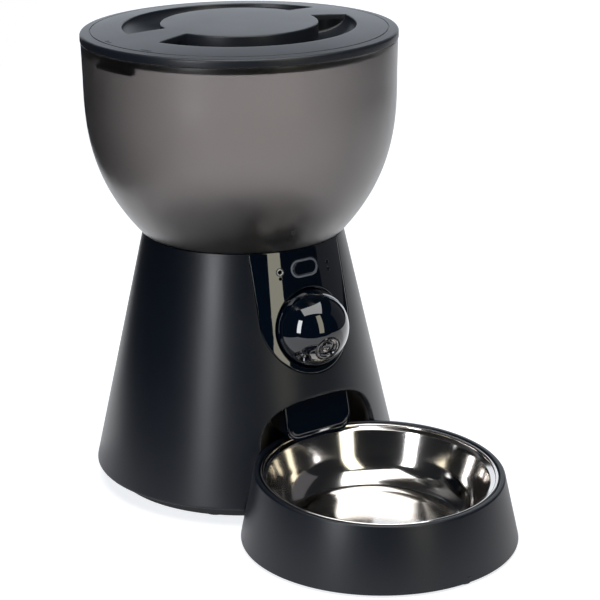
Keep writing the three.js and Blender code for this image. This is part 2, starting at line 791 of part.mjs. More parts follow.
// Ring with a plate that keeps food off the wheel's pocket above the outlet
function meteringCover() {
  const low = chamberFloor + gap + wheelHeight + gap;
  const outer = chamberRadius - gap;
  const ring = tube(outer - meterRing, outer, low, low + meterThickness, midSegments);
  const plate = tube(hubRadius + gap * 3, outer, low, low + meterThickness, midSegments)
    .intersect(wedge(-meterHalfAngle, meterHalfAngle, neckRadius, low, low + meterThickness));
  return ring.add(plate);
}

function portionWheel() {
  const low = chamberFloor + gap;
  const high = low + wheelHeight;
  let body = bar(hubRadius, low, high);
  for (let i = 0; i < vaneCount; i += 1) {
    const vane = block([-vaneThickness / 2, vaneThickness / 2], [-wheelRadius, -hubRadius / 2], [low, high],
      turnZ((i + 1 / 2) * Math.PI * 2 / vaneCount));
    body = body.add(vane);
  }
  const socket = bar(hexRadius + gap, low - overrun, low + hexHeight + gap, 6);
  return cut(body, socket, bar(plugRadius + gap, high - plugDepth - gap, high + overrun, shaftSegments));
}

function stirrer() {
  const wheelTop = chamberFloor + gap + wheelHeight;
  const low = wheelTop + gap * 2 + meterThickness + gap;
  const profile = [[0, wheelTop - plugDepth], [plugRadius, wheelTop - plugDepth], [plugRadius, low], [domeRadius, low]];
  const steps = 5;
  for (let i = 1; i <= steps; i += 1) {
    const turn = i / steps * Math.PI / 2;
    profile.push([domeRadius * Math.cos(turn), low + domeHeight * Math.sin(turn)]);
  }
  let body = turned(profile, socketSegments);
  for (let i = 0; i < finCount; i += 1) {
    const fin = block([-finThickness / 2, finThickness / 2], [-finReach, -plugRadius],
      [low + finRise, low + finRise + finHeight], turnZ(i * Math.PI * 2 / finCount));
    body = body.add(fin);
  }
  return body;
}

// Coupling: a round neck in the floor hole and a hexagon inside the wheel's hub
function driveCoupling() {
  const low = chamberFloor - housingFloor + gap;
  const neck = chamberFloor + gap * 2;
  const body = bar(couplingRadius, low, neck).add(bar(hexRadius, neck - gap, neck + hexHeight - gap, 6));
  return body.subtract(bar(shaftRadius + gap, low - overrun, neck + hexHeight / 2, shaftSegments));
}

const gearboxTop = chamberFloor - housingFloor - gap;

function gearmotor() {
  const place = move(0, gearboxOffset, 0);
  const gearboxLow = gearboxTop - gearboxHeight;
  const motorLength = (gearboxLow - caseTop - boardPostHeight - boardThickness - gap) * motorRoomShare;
  const gearbox = bar(gearboxRadius, gearboxLow, gearboxTop, midSegments, place);
  const motor = bar(motorRadius, gearboxLow - motorLength, gearboxLow + gap, midSegments, place);
  const bore = bar(shaftRadius + gap, gearboxTop - shaftInset - gap, gearboxTop + overrun, shaftSegments);
  return cut(gearbox.add(motor), bore);
}

function driveShaft() {
  return bar(shaftRadius, gearboxTop - shaftInset, gearboxTop - shaftInset + shaftLength, shaftSegments);
}

// Food tank: a bowl shaped wall that flattens to upright, a spigot with lugs below, tabs for the lid above
function tankRadius(z) {
  const share = Math.min(1, (z - seamHeight) / (tankShoulderHeight - seamHeight));
  const curve = neckRadius + (tankShoulderRadius - neckRadius) * (1 - (1 - share) ** tankPower);
  const upright = Math.max(0, (z - tankShoulderHeight) / (tankRimHeight - tankShoulderHeight));
  return curve + (tankRimRadius - tankShoulderRadius) * upright;
}

const tankSeat = seamHeight + gap;
const tankLevelShares = [0, 0.09, 0.2, 0.33, 0.5, 0.72, 1];

function tankShell() {
  const levels = tankLevelShares.map((share) => tankSeat + share * (tankShoulderHeight - tankSeat));
  const outside = [...levels, tankRimHeight].map((z) => [tankRadius(z), z]);
  const inside = [...levels.slice(1), tankRimHeight].map((z) => {
    const slope = (tankRadius(z + gap) - tankRadius(z - gap)) / (gap * 2);
    const lean = Math.hypot(1, slope);
    return [tankRadius(z) - tankWall / lean, z + (z < tankShoulderHeight ? tankWall * slope / lean : 0)];
  });
  const bore = spigotRadius - tankWall;
  const body = turned([
    [bore, tankSeat - spigotDepth], [spigotRadius, tankSeat - spigotDepth], [spigotRadius, tankSeat],
    ...outside, ...inside.reverse(), [bore, tankSeat + tankWall],
  ]);
  const lugTop = seamHeight - deckThickness - gap;
  const lugWidth = tankLugWidth / 2 / spigotRadius / degree;
  const lugs = tankLugAngles.map((angle) =>
    tube(spigotRadius - tankWall / 2, spigotRadius + tankLugReach, lugTop - tankLugHeight, lugTop)
      .intersect(wedge(angle - lugWidth, angle + lugWidth, neckRadius, lugTop - tankLugHeight, lugTop)));
  const tabLow = lidLugBottom + lidLugHeight + gap;
  const wallInside = tankRadius(tabLow) - tankWall;
  const tabStart = lidLugStart - lidTurn;
  const tabs = lidLugAngles.map((angle) =>
    tube(wallInside - tankTabReach, wallInside + tankWall / 2, tabLow, tabLow + tankTabHeight)
      .intersect(wedge(tabStart + angle, tabStart + tankTabSpan + angle, lidRadius, tabLow, tabLow + tankTabHeight)));
  const groove = tube(gasketInner - gap, gasketOuter + gap, tankSeat - gap, seamHeight - gasketDepth + gasketThickness + gap);
  return join(body, ...lugs, ...tabs).subtract(groove);
}

// Lid: domed cover with a middle disc between two finger pockets, an edge rounding, skirt and lugs
const lidSurface = (r) => lidRimHeight + lidCrown * (1 - (Math.min(r, lidRadius - lidEdge) / (lidRadius - lidEdge)) ** lidCrownPower);
const flangeLow = tankRimHeight + gap;
const skirtLow = flangeLow - skirtDepth;
const lidRingShares = [0.52, 0.78, 0.9, 1];
const lidUnderShares = [0.6, 1];

// Section of a finger pocket: upright at the disc, deep beside it, rising in a curve to the outer edge
function pocketSection(grow, top) {
  const width = pocketRadius - discRadius;
  const floor = lidSurface(discRadius) - pocketDepth - grow;
  const points = [[discRadius - grow, top], [discRadius - grow, floor]];
  const steps = 3;
  for (let i = 1; i <= steps; i += 1) {
    const turn = i / steps * Math.PI / 2;
    const reach = discRadius + (width + grow) * Math.sin(turn);
    points.push([reach, floor + (pocketDepth + grow) * (1 - Math.cos(turn))]);
  }
  points.push([pocketRadius + grow, top]);
  return points;
}

function pockets(grow, low, high) {
  const whole = turned(pocketSection(grow, high));
  const side = grow / discRadius / degree;
  return [0, 180].map((angle) => whole.intersect(
    wedge(pocketStart - side + angle, pocketEnd + side + angle, lidRadius, low - overrun, high + overrun)));
}

function lidCover() {
  const flat = lidRadius - lidEdge;
  const dome = lidRingShares.map((share) => [flat * share, lidSurface(flat * share)]);
  const edge = [1, 2].map((i) => {
    const turn = i / 3 * Math.PI / 2;
    return [flat + lidEdge * Math.sin(turn), lidRimHeight - lidEdge * (1 - Math.cos(turn))];
  });
  const under = [...lidUnderShares].reverse().map((share) => {
    const r = (skirtRadius - skirtWall) * share;
    return [r, lidSurface(r) - lidWall];
  });
  const shell = turned([
    [0, lidSurface(0)], ...dome, ...edge, [lidRadius, lidRimHeight - lidEdge], [lidRadius, flangeLow],
    [skirtRadius, flangeLow], [skirtRadius, skirtLow], [skirtRadius - skirtWall, skirtLow],
    ...under, [0, lidSurface(0) - lidWall],
  ]);
  const above = lidSurface(0) + overrun;
  const tubs = pockets(lidWall, skirtLow, above).map((tub) => tub.intersect(turned([
    [0, 0], [lidRadius, 0], ...[...dome].reverse().map(([r, z]) => [r, z - lidWall / 2]), [0, lidSurface(0) - lidWall / 2],
  ])));
  const cupLow = lidSurface(0) - cupDepth - lidWall;
  const cup = tube(discRadius - lidWall, discRadius, cupLow, lidSurface(discRadius) - lidWall / 2);
  const lugs = lidLugAngles.map((angle) =>
    tube(skirtRadius - skirtWall, skirtRadius, lidLugBottom, skirtLow + gap)
      .add(tube(skirtRadius - skirtWall, skirtRadius + lidLugReach, lidLugBottom, lidLugBottom + lidLugHeight))
      .intersect(wedge(lidLugStart + angle, lidLugStart + lidLugSpan + angle, lidRadius, lidLugBottom, skirtLow + gap)));
  const groove = tube(skirtRadius - sealDepth, skirtRadius + overrun, sealLow - gap, sealLow + sealHeight + gap);
  return cut(join(shell, ...tubs, cup, ...lugs), ...pockets(0, skirtLow, above), groove);
}

const sealLow = flangeLow - skirtDepth + (skirtDepth - sealHeight) / 2;

// Lid seal: a ring with round lips that face the tank wall
function lidSeal() {
  const inner = skirtRadius - sealDepth + gap;
  const outer = tankRadius(sealLow) - tankWall - gap;
  const lip = sealHeight / sealLips;
  const profile = [[inner, sealLow]];
  for (let i = 0; i < sealLips; i += 1) {
    const low = sealLow + i * lip;
    profile.push([outer - sealDepth / 2, low], [outer, low + lip / 2]);
  }
  profile.push([outer - sealDepth / 2, sealLow + sealHeight], [inner, sealLow + sealHeight]);
  return turned(profile);
}

const desiccantLow = lidSurface(0) - cupDepth - lidWall;

function desiccantCover() {
  const radius = discRadius - lidWall - gap;
  const plate = bar(radius, desiccantLow, desiccantLow + desiccantCoverThickness, hullSegments);
  const slots = [];
  for (let i = 0; i < desiccantSlots; i += 1) {
    slots.push(block([-desiccantSlotWidth / 2, desiccantSlotWidth / 2], desiccantSlotShares.map((share) => -radius * share),
      [desiccantLow - overrun, desiccantLow + overrun], turnZ(i * Math.PI * 2 / desiccantSlots)));
  }
  return cut(plate, ...slots);
}

function desiccantPack() {
  const low = desiccantLow + desiccantCoverThickness + gap;
  const radius = discRadius - lidWall - gap * 4;
  return turned([
    [0, low], [radius * desiccantFaceShare, low], [radius, low + desiccantThickness / 3], [radius, low + desiccantThickness * 2 / 3],
    [radius * desiccantFaceShare, low + desiccantThickness], [0, low + desiccantThickness],
  ], midSegments);
}

// Front panel: a tongue shaped skin let into the cone
function frontPanel() {
  const skin = throughY(panelShape(0), -footRadius, 0)
    .intersect(coneBand(0, panelThickness, skirtHeight, seamHeight));
  return cut(
    skin,
    barOut(socketRadius + gap, socketRadius * 2, overrun, socketPlace, socketSegments),
    throughY(stadium(ringHalfLength + gap, ringHalfHeight + gap), -overrun, overrun, 4, buttonPlace),
    barOut(micRadius + gap, overrun, overrun, micPlace, smallSegments),
    barOut(micBore, overrun, overrun, micSmallPlace, smallSegments),
    ...indicatorPlaces.map((place) => barOut(indicatorRadius + gap, overrun, overrun, place, smallSegments)),
  );
}

// Socket: a rounded collar in front and a half round cup behind the ball
function cameraSocket() {
  const inner = socketRadius - socketWall;
  const steps = 4;
  const outerCup = [];
  const innerCup = [];
  for (let i = 0; i <= steps; i += 1) {
    const turn = i / steps * Math.PI / 2;
    outerCup.push([socketRadius * Math.cos(turn), -ballBack - socketRadius * Math.sin(turn)]);
    innerCup.push([inner * Math.cos(turn), -ballBack - inner * Math.sin(turn)]);
  }
  const rim = [
    [inner, 0], [inner + socketWall / 4, socketRim * rimShoulderShare], [inner + socketWall / 2, socketRim],
    [socketRadius - socketWall / 4, socketRim * rimShoulderShare], [socketRadius, 0],
  ];
  const body = turned([...rim, ...outerCup, ...innerCup.reverse()], socketSegments, turnX(Math.PI / 2));
  const down = turnX(coneAngle).multiply(move(0, 0, -socketRadius));
  const shaft = bar(panShaftRadius + gap * 2, -overrun, overrun, shaftSegments, move(0, ballBack, 0).multiply(down));
  return body.subtract(shaft);
}

// Camera ball: a shell in two halves with bosses for the tilt pins, local -Y is the middle of its face
const ballPoint = (radius, along) => [Math.sqrt(Math.max(0, radius ** 2 - along ** 2)), along];
const lookOut = (yaw, pitch) => turnZ(yaw * degree).multiply(turnX(-pitch * degree));

// A plain ball with its poles front and back
function ballSolid(radius) {
  const steps = 7;
  const points = [];
  for (let i = 0; i <= steps; i += 1) {
    points.push([radius * Math.sin(i / steps * Math.PI), radius * Math.cos(i / steps * Math.PI)]);
  }
  return turned(points, midSegments, turnX(Math.PI / 2));
}

function ballShell(low, high, steps) {
  const inner = ballRadius - ballWall;
  const outside = [];
  const inside = [];
  for (let i = 0; i <= steps; i += 1) {
    const from = Math.acos(Math.max(-1, low / ballRadius));
    const to = Math.acos(Math.min(1, high / ballRadius));
    const turn = from + (to - from) * i / steps;
    outside.push([ballRadius * Math.sin(turn), ballRadius * Math.cos(turn)]);
    const clipped = Math.min(Math.max(inner * Math.cos(turn), low), high);
    inside.push(ballPoint(inner, clipped));
  }
  return turned([...outside, ...inside.reverse()], midSegments, turnX(Math.PI / 2));
}

function shaftSlot() {
  const half = panShaftRadius + slotClearance;
  const points = [[0, 0]];
  const start = quarterTurn - tiltRest - tiltDown;
  const end = quarterTurn - tiltRest + tiltUp;
  const margin = Math.asin(half / ballRadius) / degree;
  const steps = 5;
  for (let i = 0; i <= steps; i += 1) {
    const turn = (start - margin + (end - start + margin * 2) * i / steps) * degree;
    points.push([-(ballRadius + overrun) * Math.cos(turn), -(ballRadius + overrun) * Math.sin(turn)]);
  }
  return throughX(points, half);
}

function ballFront() {
  const shell = ballShell(-ballSplit, ballRadius, 6);
  const across = new THREE.Matrix4().makeRotationY(Math.PI / 2);
  const bosses = [-1, 1].map((side) => {
    const near = yokeReach + gap * 2;
    const far = ballRadius - ballWall / 2;
    const [low, high] = side > 0 ? [near, far] : [-far, -near];
    return tube(pinRadius + gap, pinBossRadius, low, high, shaftSegments, across);
  });
  const inside = ballSolid(ballRadius - ballWall / 2);
  return cut(
    join(shell, ...bosses.map((boss) => boss.intersect(inside))),
    barOut(lensRadius + gap, -ballRadius / 2, ballRadius + overrun, lookOut(lensYaw, lensPitch), midSegments),
    barOut(ledRadius + gap, -ballRadius / 2, ballRadius + overrun, lookOut(ledYaw, ledPitch), shaftSegments),
    shaftSlot(),
  );
}

function ballRear() {
  return ballShell(-ballRadius, -ballSplit - gap, 3).subtract(shaftSlot());
}

// Lens barrel: stepped rings that narrow towards the glass
function lensBarrel() {
  const back = ballRadius - lensDepth;
  const front = ballRadius - gap;
  const seat = back + lensDepth / 2;
  const body = turned([
    [0, back], [lensRadius, back], [lensRadius, front - lensStep], [lensRadius - lensStep / 2, front],
    [lensRadius - lensStep, front], [lensRadius - lensStep, front - lensStep / 2],
    [lensRadius - lensStep * 2, front - lensStep], [lensGlassRadius + gap, seat], [lensGlassRadius + gap, seat - lensStep],
    [0, seat - lensStep],
  ], midSegments, turnX(Math.PI / 2));
  return body;
}

function lensFront() {
  const seat = ballRadius - lensDepth / 2 - lensStep + gap;
  const edge = lensStep;
  return turned([
    [0, seat], [lensGlassRadius, seat], [lensGlassRadius, seat + edge],
    ...lensGlassShares.map(([across, up]) => [lensGlassRadius * across, seat + edge + lensGlassSag * up]),
    [0, seat + edge + lensGlassSag],
  ], shaftSegments, turnX(Math.PI / 2));
}

// Infrared lamp: a cup with a small dome in it
function infraredLamp() {
  const back = ballRadius - ledDepth;
  const front = ballRadius - gap;
  return turned([
    [0, back], [ledRadius, back], [ledRadius, front - gap], [ledRadius - gap * 2, front],
    ...ledDomeShares.map(([across, up]) => [ledDomeRadius * across, back + ledDepth * up]),
  ], shaftSegments, turnX(Math.PI / 2));
}

function sensorBoard() {
  const front = -(ballRadius - lensDepth - gap);
  return block([-sensorSize / 2, sensorSize / 2], [front, front + keyBoardThickness], [-sensorSize / 2, sensorSize / 2]);
}

// Yoke inside the ball: pan shaft, foot, two arms and the tilt pins
function panYoke() {
  const across = new THREE.Matrix4().makeRotationY(Math.PI / 2);
  const shaft = bar(panShaftRadius, -socketRadius - gap - panMotorHeight / 2, -yokeFoot + gap, shaftSegments);
  const foot = block([-yokeReach, yokeReach], [-yokeWidth / 2, tiltMotorBack + tiltMotorRadius],
    [-yokeFoot, -yokeFoot + yokeArm]);
  const sphere = ballSolid(ballRadius - ballWall - gap * 3);
  const arms = [-1, 1].map((side) => {
    const [low, high] = side > 0 ? [yokeReach - yokeArm, yokeReach] : [-yokeReach, -yokeReach + yokeArm];
    const [pinLow, pinHigh] = side > 0 ? [yokeReach - gap, yokeReach + pinLength] : [-yokeReach - pinLength, -yokeReach + gap];
    return block([low, high], [-yokeWidth / 2, yokeWidth / 2], [-yokeFoot, yokeWidth / 2]).intersect(sphere)
      .add(bar(pinRadius, pinLow, pinHigh, shaftSegments, across));
  });
  return join(shaft, foot.intersect(sphere), ...arms);
}

function tiltMotor() {
  const across = new THREE.Matrix4().makeRotationY(Math.PI / 2);
  const place = move(0, tiltMotorBack, -yokeFoot + yokeArm + gap + tiltMotorRadius).multiply(across);
  return bar(tiltMotorRadius, -tiltMotorLength / 2, tiltMotorLength / 2, shaftSegments, place);
}

function panMotor() {
  const top = -socketRadius - gap;
  const bore = bar(panShaftRadius + gap, top - panMotorHeight / 2 - gap, top + overrun, shaftSegments);
  return bar(panMotorRadius, top - panMotorHeight, top, midSegments).subtract(bore);
}

// Key and its light ring, both let into the panel and rounded as the cone is
function lightRing() {
  const inner = stadium(ringHalfLength - ringLine, ringHalfHeight - ringLine);
  return throughY(stadium(ringHalfLength, ringHalfHeight), -overrun, ringDepth, 4, buttonPlace)
    .subtract(throughY(inner, -overrun * 2, ringDepth + overrun, 4, buttonPlace))
    .intersect(coneSolid(0, chamberFloor, seamHeight));
}

function feedKey() {
  const half = ringHalfLength - ringLine - gap;
  const tall = ringHalfHeight - ringLine - gap;
  const stem = throughY(stadium(half, tall), -overrun, shellWall + gap, 4, buttonPlace)
    .intersect(coneSolid(-buttonProud, chamberFloor, seamHeight));
  const flange = throughY(stadium(half + buttonFlange, tall + buttonFlange), ringDepth + gap, shellWall + buttonFlange, 4,
    buttonPlace);
  return stem.add(flange);
}

// Board with the switch behind the key; local -Y is outwards
function keyBoard() {
  const depth = keyBoardDepth();
  const board = block([-keyBoardHalf, keyBoardHalf], [depth, depth + keyBoardThickness],
    [-keyBoardHeight / 2, keyBoardHeight / 2]);
  const sensor = block([-switchHalf, switchHalf], [depth - switchHeight, depth + gap], [-switchHalf, switchHalf]);
  return board.add(sensor);
}

// Microphone trim: a bright ring round a small bore
function microphoneTrim() {
  return turned([
    [micBore, -panelThickness], [micRadius, -panelThickness], [micRadius, gap], [micRadius - gap, gap * 2],
    [micBore + gap, gap * 2], [micBore, gap],
  ], smallSegments, turnX(Math.PI / 2));
}

// Power inlet: a round socket with a centre pin, sunk into the rear of the cone
function powerInlet() {
  const body = bar(inletRadius, -inletDepth, 0, midSegments, turnX(Math.PI / 2));
  const bore = bar(inletBore, -inletDepth + shellWall, overrun, shaftSegments, turnX(Math.PI / 2));
  const pin = bar(inletPinRadius, -inletDepth + shellWall / 2, -shellWall, smallSegments, turnX(Math.PI / 2));
  return body.subtract(bore).add(pin);
}

function speaker() {
  const back = speakerBack();
  return turned([
    [0, -back], [speakerRadius / 2, -back], [speakerRadius / 2, speakerDepth / 2 - back],
    [speakerRadius, speakerDepth * 2 / 3 - back], [speakerRadius, speakerDepth - back],
    [speakerRadius * speakerDishShare, speakerDepth - back], [0, speakerDepth * 3 / 4 - back],
  ], midSegments, turnX(Math.PI / 2));
}

// Bowl holder: cone wall with a rounded lip in a slanted plane, a seat and a well for the bowl, open below
const rimPlane = move(0, 0, holderHeight).multiply(turnX(Math.atan(holderTilt)));
const holderRadius = (z) => holderFoot - z * holderSlope;

// Lifts points in proportion to their height, so that the rim lies in the slanted plane
function slantTop(geometry) {
  const places = geometry.attributes.position;
  for (let i = 0; i < places.count; i += 1) {
    const rise = places.getY(i) * holderTilt * places.getZ(i) / holderHeight;
    places.setZ(i, places.getZ(i) + rise);
  }
  return geometry;
}

function bowlHolder() {
  const lipCentre = holderHeight - holderLip;
  const lip = [0, 1, 2].map((i) => {
    const turn = i / 2 * Math.PI / 2;
    return [holderTop - holderLip + holderLip * Math.cos(turn), lipCentre + holderLip * Math.sin(turn)];
  });
  const profile = [[0, holderBottom], [holderRadius(holderBottom), holderBottom], ...lip, [0, holderHeight]];
  const points = [...profile, profile[0]].map(([r, z]) => new THREE.Vector2(r, z));
  const outline = solid(slantTop(new THREE.LatheGeometry(points, hullSegments).rotateX(Math.PI / 2)));
  const seat = -rimDrop - rimRoll - gap;
  const recess = turned([
    [0, overrun], [rimRadius + rimRoll + gap * 2, overrun], [rimRadius + rimRoll + gap * 2, seat],
    ...bowlSection(bowlSheet + wellGap),
  ], hullSegments, rimPlane);
  const floorLow = -rimDrop - bowlDepth - bowlSheet - wellGap - holderFloor;
  const outer = bowlSection(bowlSheet + wellGap + holderFloor).filter(([, z]) => z < seat - holderFloor);
  const under = turned([
    [0, -holderHeight * 2], [holderFoot, -holderHeight * 2], [holderFoot, seat - holderFloor],
    [seatRadius + wellGap + bowlSheet + holderFloor, seat - holderFloor], ...outer,
  ], hullSegments, rimPlane);
  const insideWall = turned([
    [0, -overrun], [holderRadius(-overrun) - holderWall, -overrun],
    [holderRadius(holderHeight - holderLip * 2) - holderWall, holderHeight - holderLip * 2], [0, holderHeight - holderLip * 2],
  ]);
  const flatFloor = turned([[0, floorLow - overrun], [bowlFloorRadius, floorLow - overrun], [bowlFloorRadius, floorLow],
    [0, floorLow]], hullSegments, rimPlane);
  const bosses = holderPadAngles.map((angle) => bar(holderPad + holderWall / 2, holderBottom, holderPadBoss,
    smallSegments, move(...onRing(holderPadRing, angle), 0)).intersect(outline));
  return join(cut(outline, recess, under.intersect(insideWall), flatFloor.intersect(insideWall)), ...bosses);
}

// Section of the bowl's body below the rim plane, from the wall's top to the axis, grown outwards
function bowlSection(grow) {
  const top = -rimDrop - rimRoll - gap;
  const floor = -rimDrop - bowlDepth;
  const points = [];
  const steps = 4;
  for (let i = 0; i <= steps; i += 1) {
    const turn = i / steps * Math.PI / 2;
    const r = bowlFloorRadius + (seatRadius - bowlFloorRadius) * Math.cos(turn) ** bowlCornerPower;
    points.push([r + grow * Math.cos(turn), floor + (top - floor) * (1 - Math.sin(turn) ** bowlWallPower) - grow * Math.sin(turn)]);
  }
  points.push([0, floor - grow]);
  return points;
}

function steelBowl() {
  const inside = bowlSection(0);
  const outside = bowlSection(bowlSheet);
  const centre = [rimRadius, -rimDrop];
  const roll = [];
  const steps = 4;
  for (let i = 0; i <= steps; i += 1) {
    const turn = ((1 - i / steps) * rollSpan + rollStart) * degree;
    roll.push([centre[0] + rimRoll * Math.cos(turn), centre[1] + rimRoll * Math.sin(turn)]);
  }
  return turned([
    ...inside.reverse(), [bowlWallRadius, -rimDrop - rimRoll / 2], ...roll,
    [bowlWallRadius + bowlSheet, -rimDrop - rimRoll], ...outside,
  ], hullSegments);
}

function holderPadSolid(angle) {
  return bar(holderPad, 0, holderBottom - gap, smallSegments, move(...onRing(holderPadRing, angle), 0));
}

// Assembly
piece('base_shell', baseShell(), satinBlack, tower);
piece('front_panel', frontPanel(), glossBlack, tower);
piece('outlet_recess', outletRecess(), satinBlack, tower);
piece('chute', chute(), glossBlack, tower);
piece('base_plate', bottomPlate(), innerBlack, tower);
piece('battery_door', batteryDoor(), innerBlack, tower);
piece('battery_case', batteryCase(), innerBlack, tower);
for (let i = 0; i < cellCount; i += 1) piece(`battery_cell_${i + 1}`, batteryCell(i), cellWrap, tower);
batteryContacts().forEach((strip, i) => piece(`battery_contact_${i + 1}`, strip, zinc, tower));
const boardMiddle = (bayFront + bayBack) / 2;
const boardLow = caseTop + boardPostHeight + gap;
piece('main_board', block([-boardWidth / 2, boardWidth / 2],
  [boardMiddle - boardDepth / 2, boardMiddle + boardDepth / 2], [boardLow, boardLow + boardThickness]), boardGreen, tower);
footPadAngles.forEach((angle, i) => {
  const pad = piece(`foot_pad_${i + 1}`, bar(footPadRadius, 0, plateBottom - gap, midSegments), darkRubber, tower);
  [pad.position.x, pad.position.y] = onRing(footPadRing, angle);
});
baseScrewAngles.forEach((angle, i) => {
  piece(`base_screw_${i + 1}`, screw(angle, baseScrewRing, skirtHeight + gap), zinc, tower);
});
piece('dispenser_housing', dispenserHousing(), innerBlack, tower);
housingBossAngles.forEach((angle, i) => {
  const headTop = seamHeight - housingFlangeDrop - housingFlange - gap;
  piece(`housing_screw_${i + 1}`, screw(angle, housingBossRing, headTop), zinc, tower);
});
piece('metering_cover', meteringCover(), innerBlack, tower);
piece('portion_wheel', portionWheel(), innerBlack, tower);
piece('stirrer', stirrer(), innerBlack, tower);
piece('drive_coupling', driveCoupling(), softWhite, tower);
piece('drive_shaft', driveShaft(), steel, tower);
piece('gearmotor', gearmotor(), zinc, tower);
piece('tank', tankShell(), smoked, tower);
piece('tank_gasket', tube(gasketInner, gasketOuter, seamHeight - gasketDepth, seamHeight - gasketDepth + gasketThickness),
  darkRubber, tower);
piece('lid', lidCover(), satinBlack, tower);
piece('lid_seal', lidSeal(), darkRubber, tower);
piece('desiccant_cover', desiccantCover(), innerBlack, tower);
piece('desiccant_pack', desiccantPack(), softWhite, tower);

// A group that stands in the frame of a matrix
function groupAt(place, parent) {
  const group = new THREE.Group();
  group.applyMatrix4(place);
  parent.add(group);
  return group;
}

piece('camera_socket', cameraSocket(), glossBlack, groupAt(socketPlace, tower));
const camera = groupAt(move(ballCentre.x, ballCentre.y, ballCentre.z), tower);
piece('pan_motor', panMotor(), zinc, camera);
const pan = new THREE.Group();
pan.rotation.z = panRest * degree;
camera.add(pan);
piece('pan_yoke', panYoke(), innerBlack, pan);
piece('tilt_motor', tiltMotor(), zinc, pan);
const ball = new THREE.Group();
ball.rotation.x = tiltRest * degree;
pan.add(ball);
piece('ball_front', ballFront(), glossBlack, ball);
piece('ball_rear', ballRear(), glossBlack, ball);
const lens = groupAt(lookOut(lensYaw, lensPitch), ball);
piece('lens_barrel', lensBarrel(), glossBlack, lens);
piece('lens_glass', lensFront(), lensGlass, lens);
piece('sensor_board', sensorBoard(), boardGreen, lens);
piece('infrared_lamp', infraredLamp(), lensGlass, groupAt(lookOut(ledYaw, ledPitch), ball));

piece('light_ring', lightRing(), lightGrey, tower);
piece('feed_button', feedKey(), glossBlack, tower);
const keyGroup = groupAt(buttonPlace, tower);
piece('key_board', keyBoard(), boardGreen, keyGroup);
piece('microphone_trim', microphoneTrim(), steel, groupAt(micPlace, tower));
indicatorPlaces.forEach((place, i) => {
  piece(`indicator_window_${i + 1}`, barOut(indicatorRadius, panelThickness, 0, place, smallSegments), innerBlack, tower);
});
piece('power_inlet', powerInlet(), innerBlack, groupAt(inletPlace, tower));
piece('speaker', speaker(), innerBlack, groupAt(speakerPlace, tower));

piece('bowl_holder', bowlHolder(), satinBlack, bowlStand);
holderPadAngles.forEach((angle, i) => {
  piece(`holder_pad_${i + 1}`, holderPadSolid(angle), darkRubber, bowlStand);
});
piece('steel_bowl', steelBowl(), steel, groupAt(rimPlane, bowlStand));

const feeder = new THREE.Group();
feeder.add(tower, bowlStand);
export default feeder;
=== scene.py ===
"""Looks of a pet feeder with a pan and tilt camera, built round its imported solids.
Metres, +Z up, the bowl in front towards -Y. Shapes named "tower" are measured from the tank's upright axis."""

import json
import math

import bmesh
import bpy
import numpy as np
from mathutils import Matrix, Vector
from mathutils.geometry import delaunay_2d_cdt


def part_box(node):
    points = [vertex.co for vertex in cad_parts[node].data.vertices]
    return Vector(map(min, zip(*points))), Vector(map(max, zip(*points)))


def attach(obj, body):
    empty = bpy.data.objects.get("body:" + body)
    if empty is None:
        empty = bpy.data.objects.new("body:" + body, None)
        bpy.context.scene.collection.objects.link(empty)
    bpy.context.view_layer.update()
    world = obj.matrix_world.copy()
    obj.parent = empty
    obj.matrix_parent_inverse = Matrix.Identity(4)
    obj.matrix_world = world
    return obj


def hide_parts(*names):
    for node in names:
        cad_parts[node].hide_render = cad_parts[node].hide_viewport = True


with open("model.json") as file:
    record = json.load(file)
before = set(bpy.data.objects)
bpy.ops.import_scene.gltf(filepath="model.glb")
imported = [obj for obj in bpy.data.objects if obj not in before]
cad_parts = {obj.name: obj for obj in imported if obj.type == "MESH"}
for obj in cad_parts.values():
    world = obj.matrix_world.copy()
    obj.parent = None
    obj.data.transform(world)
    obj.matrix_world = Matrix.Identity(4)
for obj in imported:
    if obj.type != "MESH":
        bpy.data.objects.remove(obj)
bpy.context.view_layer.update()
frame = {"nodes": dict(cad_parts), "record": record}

# ---------------------------------------------------------------- sizes
MERGE = 2e-6  # vertices closer than this are one
SOFT_EDGE = 0.0003  # rounding of the inner parts' edges
IN_MM, MERGE_MM = 1000, 1e-6  # the Delaunay mesh is found in millimetres
SLIVER = 1e-9  # a triangle of less than half this area is dropped
NEARLY_STRAIGHT = 0.02  # the sine of a bend that counts as none
GAP = 0.0003  # between pieces that touch

FOOT_RADIUS, FOOT_Z = 0.0999, 0.0112
NECK_RADIUS, SEAM_Z = 0.0647, 0.1674
SHELL_WALL = 0.003
SLOPE = (FOOT_RADIUS - NECK_RADIUS) / (SEAM_Z - FOOT_Z)
LEAN = math.atan(SLOPE)
APEX_Z = FOOT_Z + FOOT_RADIUS / SLOPE
DECK_BORE, DECK_THICKNESS = 0.057, 0.0037
GASKET_INNER, GASKET_OUTER = 0.0592, 0.0618

PLATE_Z, PLATE_THICKNESS = 0.0023, 0.0025
PLINTH_RADIUS, PLINTH_WALL, PLINTH_TOP = 0.0882, 0.0025, 0.0143

TANK_WALL, TANK_POWER = 0.0024, 2.7
TANK_SEAT, TANK_SHOULDER_Z, TANK_RIM_Z = 0.1677, 0.268, 0.2911
TANK_SHOULDER_RADIUS, TANK_RIM_RADIUS = 0.0991, 0.0996
SPIGOT_RADIUS, SPIGOT_DEPTH = 0.0566, 0.0094
TANK_LUG_REACH, TANK_LUG_HEIGHT, TANK_LUG_HALF, TANK_LUG_ANGLES = 0.0018, 0.003, 4, (90, 210, 330)
TAB_REACH, TAB_HEIGHT, TAB_SPAN = 0.0018, 0.0015, 20

